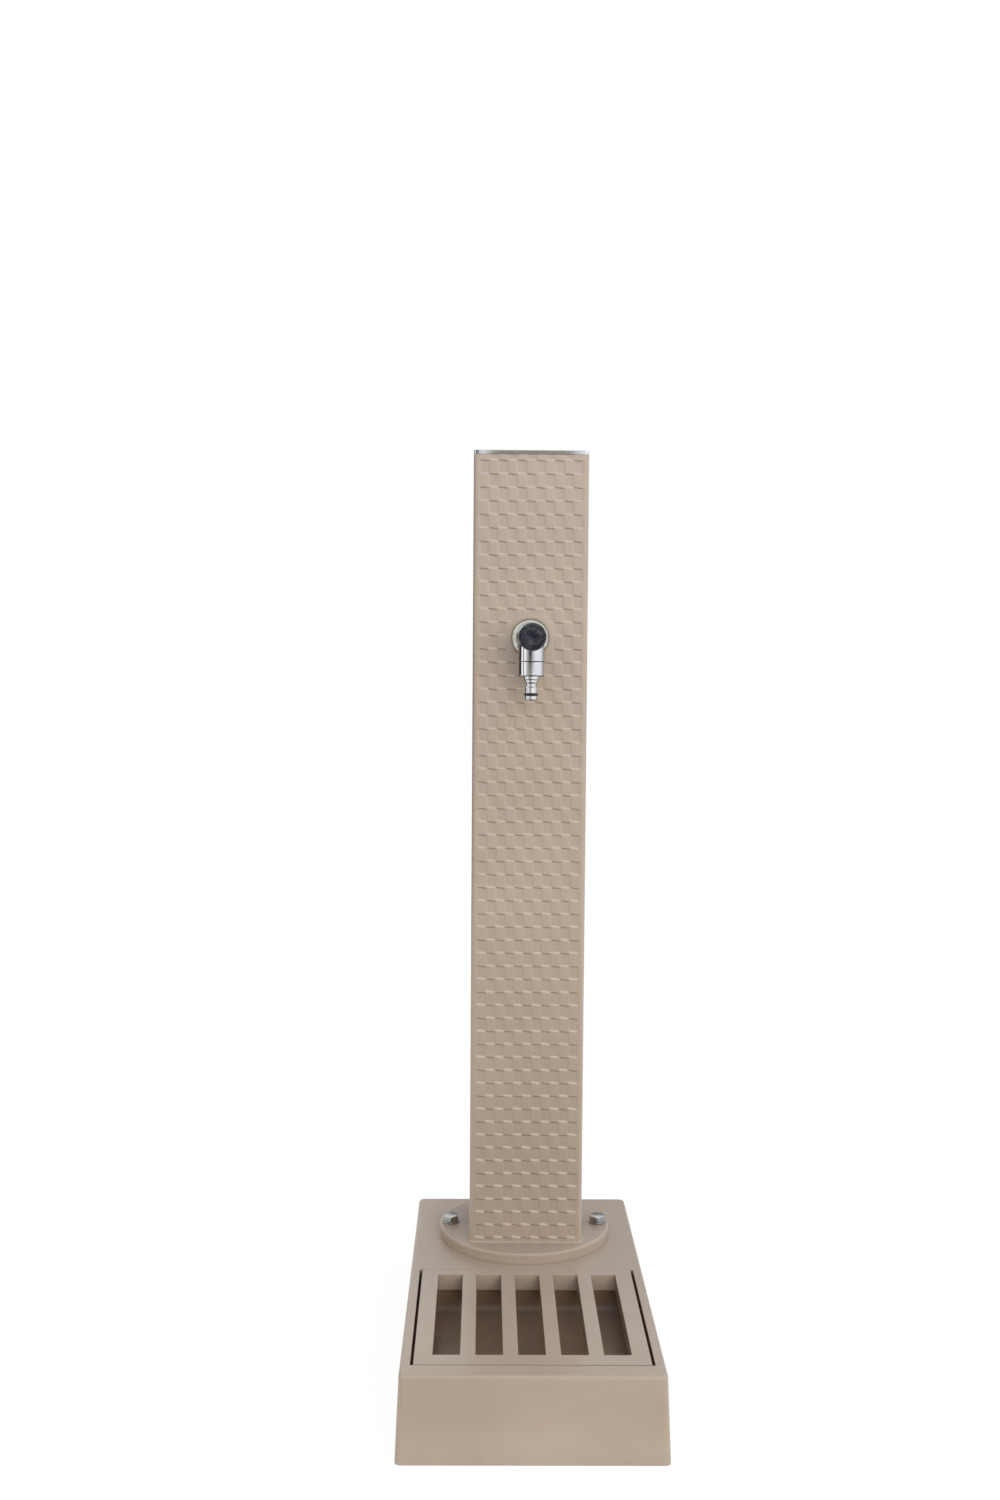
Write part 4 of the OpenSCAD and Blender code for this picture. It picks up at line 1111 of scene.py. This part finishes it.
def hose_nipple():
    """The outline goes up the bore from the tip, out over the sleeve, down its side, and in by
    steps over the collar, the neck and the barrel's groove back to the tip."""
    foot, (socket_r, socket_z), (groove_low, groove_high) = sleeve_foot, sleeve_socket, ring_groove_z
    outline = [(nipple_bore_r, nipple_foot), (nipple_bore_r, socket_z), (socket_r, socket_z),
               (socket_r, sleeve_top), (outlet_r - 0.15 * mm, sleeve_top),
               (outlet_r, sleeve_top - 0.15 * mm), (outlet_r, foot + 0.8 * mm),
               (outlet_r - mm, foot - 0.6 * mm), (nipple_collar_r, foot - 0.6 * mm),
               (nipple_collar_r, foot - 4.1 * mm), (nipple_r + 0.4 * mm, foot - 4.6 * mm),
               (nipple_r + 0.4 * mm, foot - 7.4 * mm), (neck_r, foot - 8.6 * mm),
               (neck_r, foot - 12 * mm), (nipple_r, foot - 12.8 * mm), (nipple_r, groove_high),
               (ring_groove_r, groove_high), (ring_groove_r, groove_low), (nipple_r, groove_low),
               (nipple_r, nipple_foot + 2 * mm), (nipple_r - 1.3 * mm, nipple_foot)]
    outline = eased(outline, 0.45 * mm, 5)
    return turned("hose_nipple", outline, (0, outlet_y, 0), around=144, crease_deg=50)


# A black ring in the seam, standing for the shade there.
dress(seam_shade_ring(), rubber, "rubber")
dress(hose_nipple(), chrome, "chrome", "hose_adaptor")


# The stage: a white floor that the object stands on, and the dark and pale boards of a studio
# round it. The boards show only as reflections in the chrome and in the paint's gloss, but for
# the shade board, which shades the post's left side and isn't seen at all.

floor_half = 4.0
floor_glow = 1.12
floor_glow_share = 0.81
board_distance = 2.6
wedge_distance = 2.55
board_foot, board_top = -0.4, 1.2
tap_board_foot = 0.722
sky_board_z = (1.42, 3.0)
cap_board_z = (1.3, 1.4)
shade_board_z = (0.5, 1.15)
black_board = (34, 36, 40)


def flat_board(name, corners, material, *unseen):
    """A flat stage piece. unseen names the kinds of ray that pass through it."""
    mesh = bpy.data.meshes.new(name)
    mesh.from_pydata(corners, [], [tuple(range(len(corners)))])
    mesh.materials.append(material)
    board = bpy.data.objects.new(name, mesh)
    bpy.context.scene.collection.objects.link(board)
    for kind in unseen:
        setattr(board, "visible_" + kind, False)


def seen_plainly(tree):
    """1 for a ray of the camera, of a mirror or through glass, and 0 for any other."""
    rays = place(tree, "LightPath").outputs
    found = calc(tree, "MAXIMUM", rays["Is Camera Ray"], rays["Is Transmission Ray"])
    return calc(tree, "MAXIMUM", found, rays["Is Glossy Ray"])


def make_floor():
    """White paper. To the camera, to mirrors and through glass it glows nearly white and adds a
    share of its own lit colour, so the shade under the object stays; other light finds paper."""
    material, tree, shader = new_material("white_floor")
    grain = place(tree, "TexNoise", {"Scale": 400.0, "Detail": 3.0}).outputs["Fac"]
    wire(tree, shader, Base_Color=blend_colours(tree, grain, (228, 228, 228), (234, 234, 234)),
         Roughness=0.9, Specular_IOR_Level=0.0)
    paper = shader.outputs[0]
    glow = place(tree, "Emission", {"Color": (255, 255, 255), "Strength": floor_glow}).outputs[0]
    plain = place(tree, "MixShader", {0: floor_glow_share, 1: paper, 2: glow}).outputs[0]
    mixed = place(tree, "MixShader", {0: seen_plainly(tree), 1: paper, 2: plain}).outputs[0]
    fill(tree, tree.nodes["Material Output"].inputs["Surface"], mixed)
    return material


def studio_board(name, corners, tone):
    """A board that throws no light and no shadow: only mirror-like surfaces see it."""
    material, tree, shader = new_material(name)
    tree.nodes.remove(shader)
    glow = place(tree, "Emission", {"Color": tone, "Strength": 1.0}).outputs[0]
    fill(tree, tree.nodes["Material Output"].inputs["Surface"], glow)
    unseen = ("camera", "diffuse", "shadow", "transmission", "volume_scatter")
    flat_board(name, corners, material, *unseen)


def bearing_spot(turn, z, distance=board_distance):
    """The point at height z in the direction turn, in degrees from straight ahead of the tap (-Y)
    towards the right (+X): distance times the turn's sine to the right, its cosine ahead."""
    return distance * math.sin(math.radians(turn)), -distance * math.cos(math.radians(turn)), z


def standing_boards(foot, top, *boards):
    """Upright boards across the view from the tap, each between two bearings."""
    for name, start, end, tone in boards:
        corners = [(start, foot), (end, foot), (end, top), (start, top)]
        studio_board(name, [bearing_spot(*corner) for corner in corners], tone)


def shade_board():
    """A black board that stands on the left, close to the post. Unlike the others it keeps the
    room's light off, so the post's left side and corner lie in shade, and nothing sees it."""
    black, tree, shader = new_material("shade_black")
    wire(tree, shader, Base_Color=(20, 18, 16))
    near, far, (foot, top) = (-0.26, -0.02), (-0.32, 0.6), shade_board_z
    flat_board("shade_board", [(*near, foot), (*far, foot), (*far, top), (*near, top)], black,
               "camera", "glossy", "transmission")


flat_board("floor", [(-floor_half, -floor_half, 0), (floor_half, -floor_half, 0),
                     (floor_half, floor_half, 0), (-floor_half, floor_half, 0)], make_floor())
standing_boards(board_foot, board_top,
                ("far_left_board", -150, -99, (62, 56, 48)), ("left_slat", -80, -68, (150, 149, 145)),
                ("front_left_board", -48, -34, (196, 196, 193)),
                ("right_board", 30, 92, (239, 240, 244)), ("far_right_board", 92, 114, (214, 214, 215)),
                ("rear_right_board", 114, 154, (184, 182, 184)),
                ("rear_board", 154, 184, (168, 171, 178)))
standing_boards(board_foot, tap_board_foot, ("low_front_board", -34, 6, (170, 168, 163)))
standing_boards(tap_board_foot, board_top,
                ("near_left_board", -34, -22, (156, 156, 153)),
                ("front_board", -22, 4, (134, 134, 131)), ("near_right_board", 4, 17, (186, 186, 186)),
                ("front_right_board", 17, 30, (216, 217, 219)))
standing_boards(*sky_board_z, ("sky_board", -60, 60, (206, 212, 220)))
studio_board("dark_wedge", [bearing_spot(*corner, wedge_distance) for corner in (
    (-24, 1.15), (14, 1.15), (14, 0.82), (-7, 0.748), (-18, 0.748), (-24, 0.82))], (62, 62, 60))
standing_boards(*cap_board_z,
                ("cap_front_board", -1.0, 4.45, (136, 133, 120)),
                ("cap_right_board", 4.45, 100, (234, 240, 250)),
                ("cap_left_slat", -1.56, -1.48, (60, 60, 62)), ("cap_left_board", -55, -1.75, black_board),
                ("cap_far_left_board", -112, -55, black_board),
                ("cap_rear_left_board", -170, -112, black_board))
studio_board("ground_board", [(-1.2, -2.4, 0.01), (1.2, -2.4, 0.01), (1.2, -0.3, 0.01),
                              (-1.2, -0.3, 0.01)], (112, 104, 96))
shade_board()


# The light: a soft overcast room, a wide lamp in front on the right a little above the post's
# middle, a weak cool one on the right, which draws the post's right edge, and the blue of the sky
# from above, which reaches the post's top and the deck.

room_light = 0.71
room_tone = (255, 249, 238)


def make_room():
    """The room is plain white to the camera, to mirrors and through glass, and a soft even light
    on everything else."""
    world = bpy.data.worlds.new("room")
    world.use_nodes = True
    tree = world.node_tree
    tree.nodes.clear()
    white = place(tree, "Background", {"Color": (255, 255, 255), "Strength": 1.0}).outputs[0]
    lit = place(tree, "Background", {"Color": room_tone, "Strength": room_light}).outputs[0]
    mixed = place(tree, "MixShader", {0: seen_plainly(tree), 1: lit, 2: white}).outputs[0]
    place(tree, "OutputWorld", {"Surface": mixed})
    bpy.context.scene.world = world


def stand(name, data, spot, right, up, back):
    """A lamp or camera at spot, turned so that its X, Y and Z run along the three directions."""
    made = bpy.data.objects.new(name, data)
    made.location = spot
    made.rotation_mode = "QUATERNION"
    made.rotation_quaternion = Matrix(np.column_stack([right, up, back]).tolist()).to_quaternion()
    bpy.context.scene.collection.objects.link(made)
    return made


def lamp(name, spot, aim, size, power, tone):
    """A square soft lamp at spot, turned towards aim. Mirrors don't show it."""
    data = bpy.data.lights.new(name, "AREA")
    data.shape, data.size, data.energy = "SQUARE", size, power
    data.color = colour(*tone)[:3]
    away = np.subtract(spot, aim)
    back = away / np.linalg.norm(away)
    right = np.cross([0, 0, 1.0], back)
    right /= np.linalg.norm(right)
    stand(name, data, spot, right, np.cross(back, right), back).visible_glossy = False


make_room()
lamp("key", (1.0, -3.25, 1.3), (0, 0, 0.5), 1.8, 44.5, (255, 249, 241))
lamp("sky", (-0.1, -1.0, 2.1), (0, 0, 0.8), 0.9, 6.0, (70, 145, 255))
lamp("edge", (2.1, 0.62, 0.9), (0, 0.1, 0.7), 1.0, 13.0, (190, 210, 255))


# The camera stands where the photograph was taken from: a little to the left of the post, just
# below the tap's height, looking slightly down.

camera_spot = (-0.05025, -1.67103, 0.77017)
camera_yaw = 0.0099
camera_pitch = 0.06071
camera_roll = -0.00682
focal_share = 1542.46 / 1500
sensor_w = 36.0


def set_camera():
    """Yaw turns the view to the right of +Y, pitch tips it down and roll turns it about itself."""
    turns = np.array([camera_yaw, camera_pitch, camera_roll])
    (cy, cp, cr), (sy, sp, sr) = np.cos(turns), np.sin(turns)
    forward = np.array([sy * cp, cy * cp, -sp])
    level = np.array([cy, -sy, 0])
    down = np.cross(forward, level)
    right, down = cr * level + sr * down, -sr * level + cr * down
    data = bpy.data.cameras.new("camera")
    data.sensor_width = sensor_w
    data.lens = sensor_w * focal_share
    bpy.context.scene.camera = stand("camera", data, camera_spot, right, -down, -forward)


set_camera()
bpy.context.scene.view_settings.view_transform = "Standard"
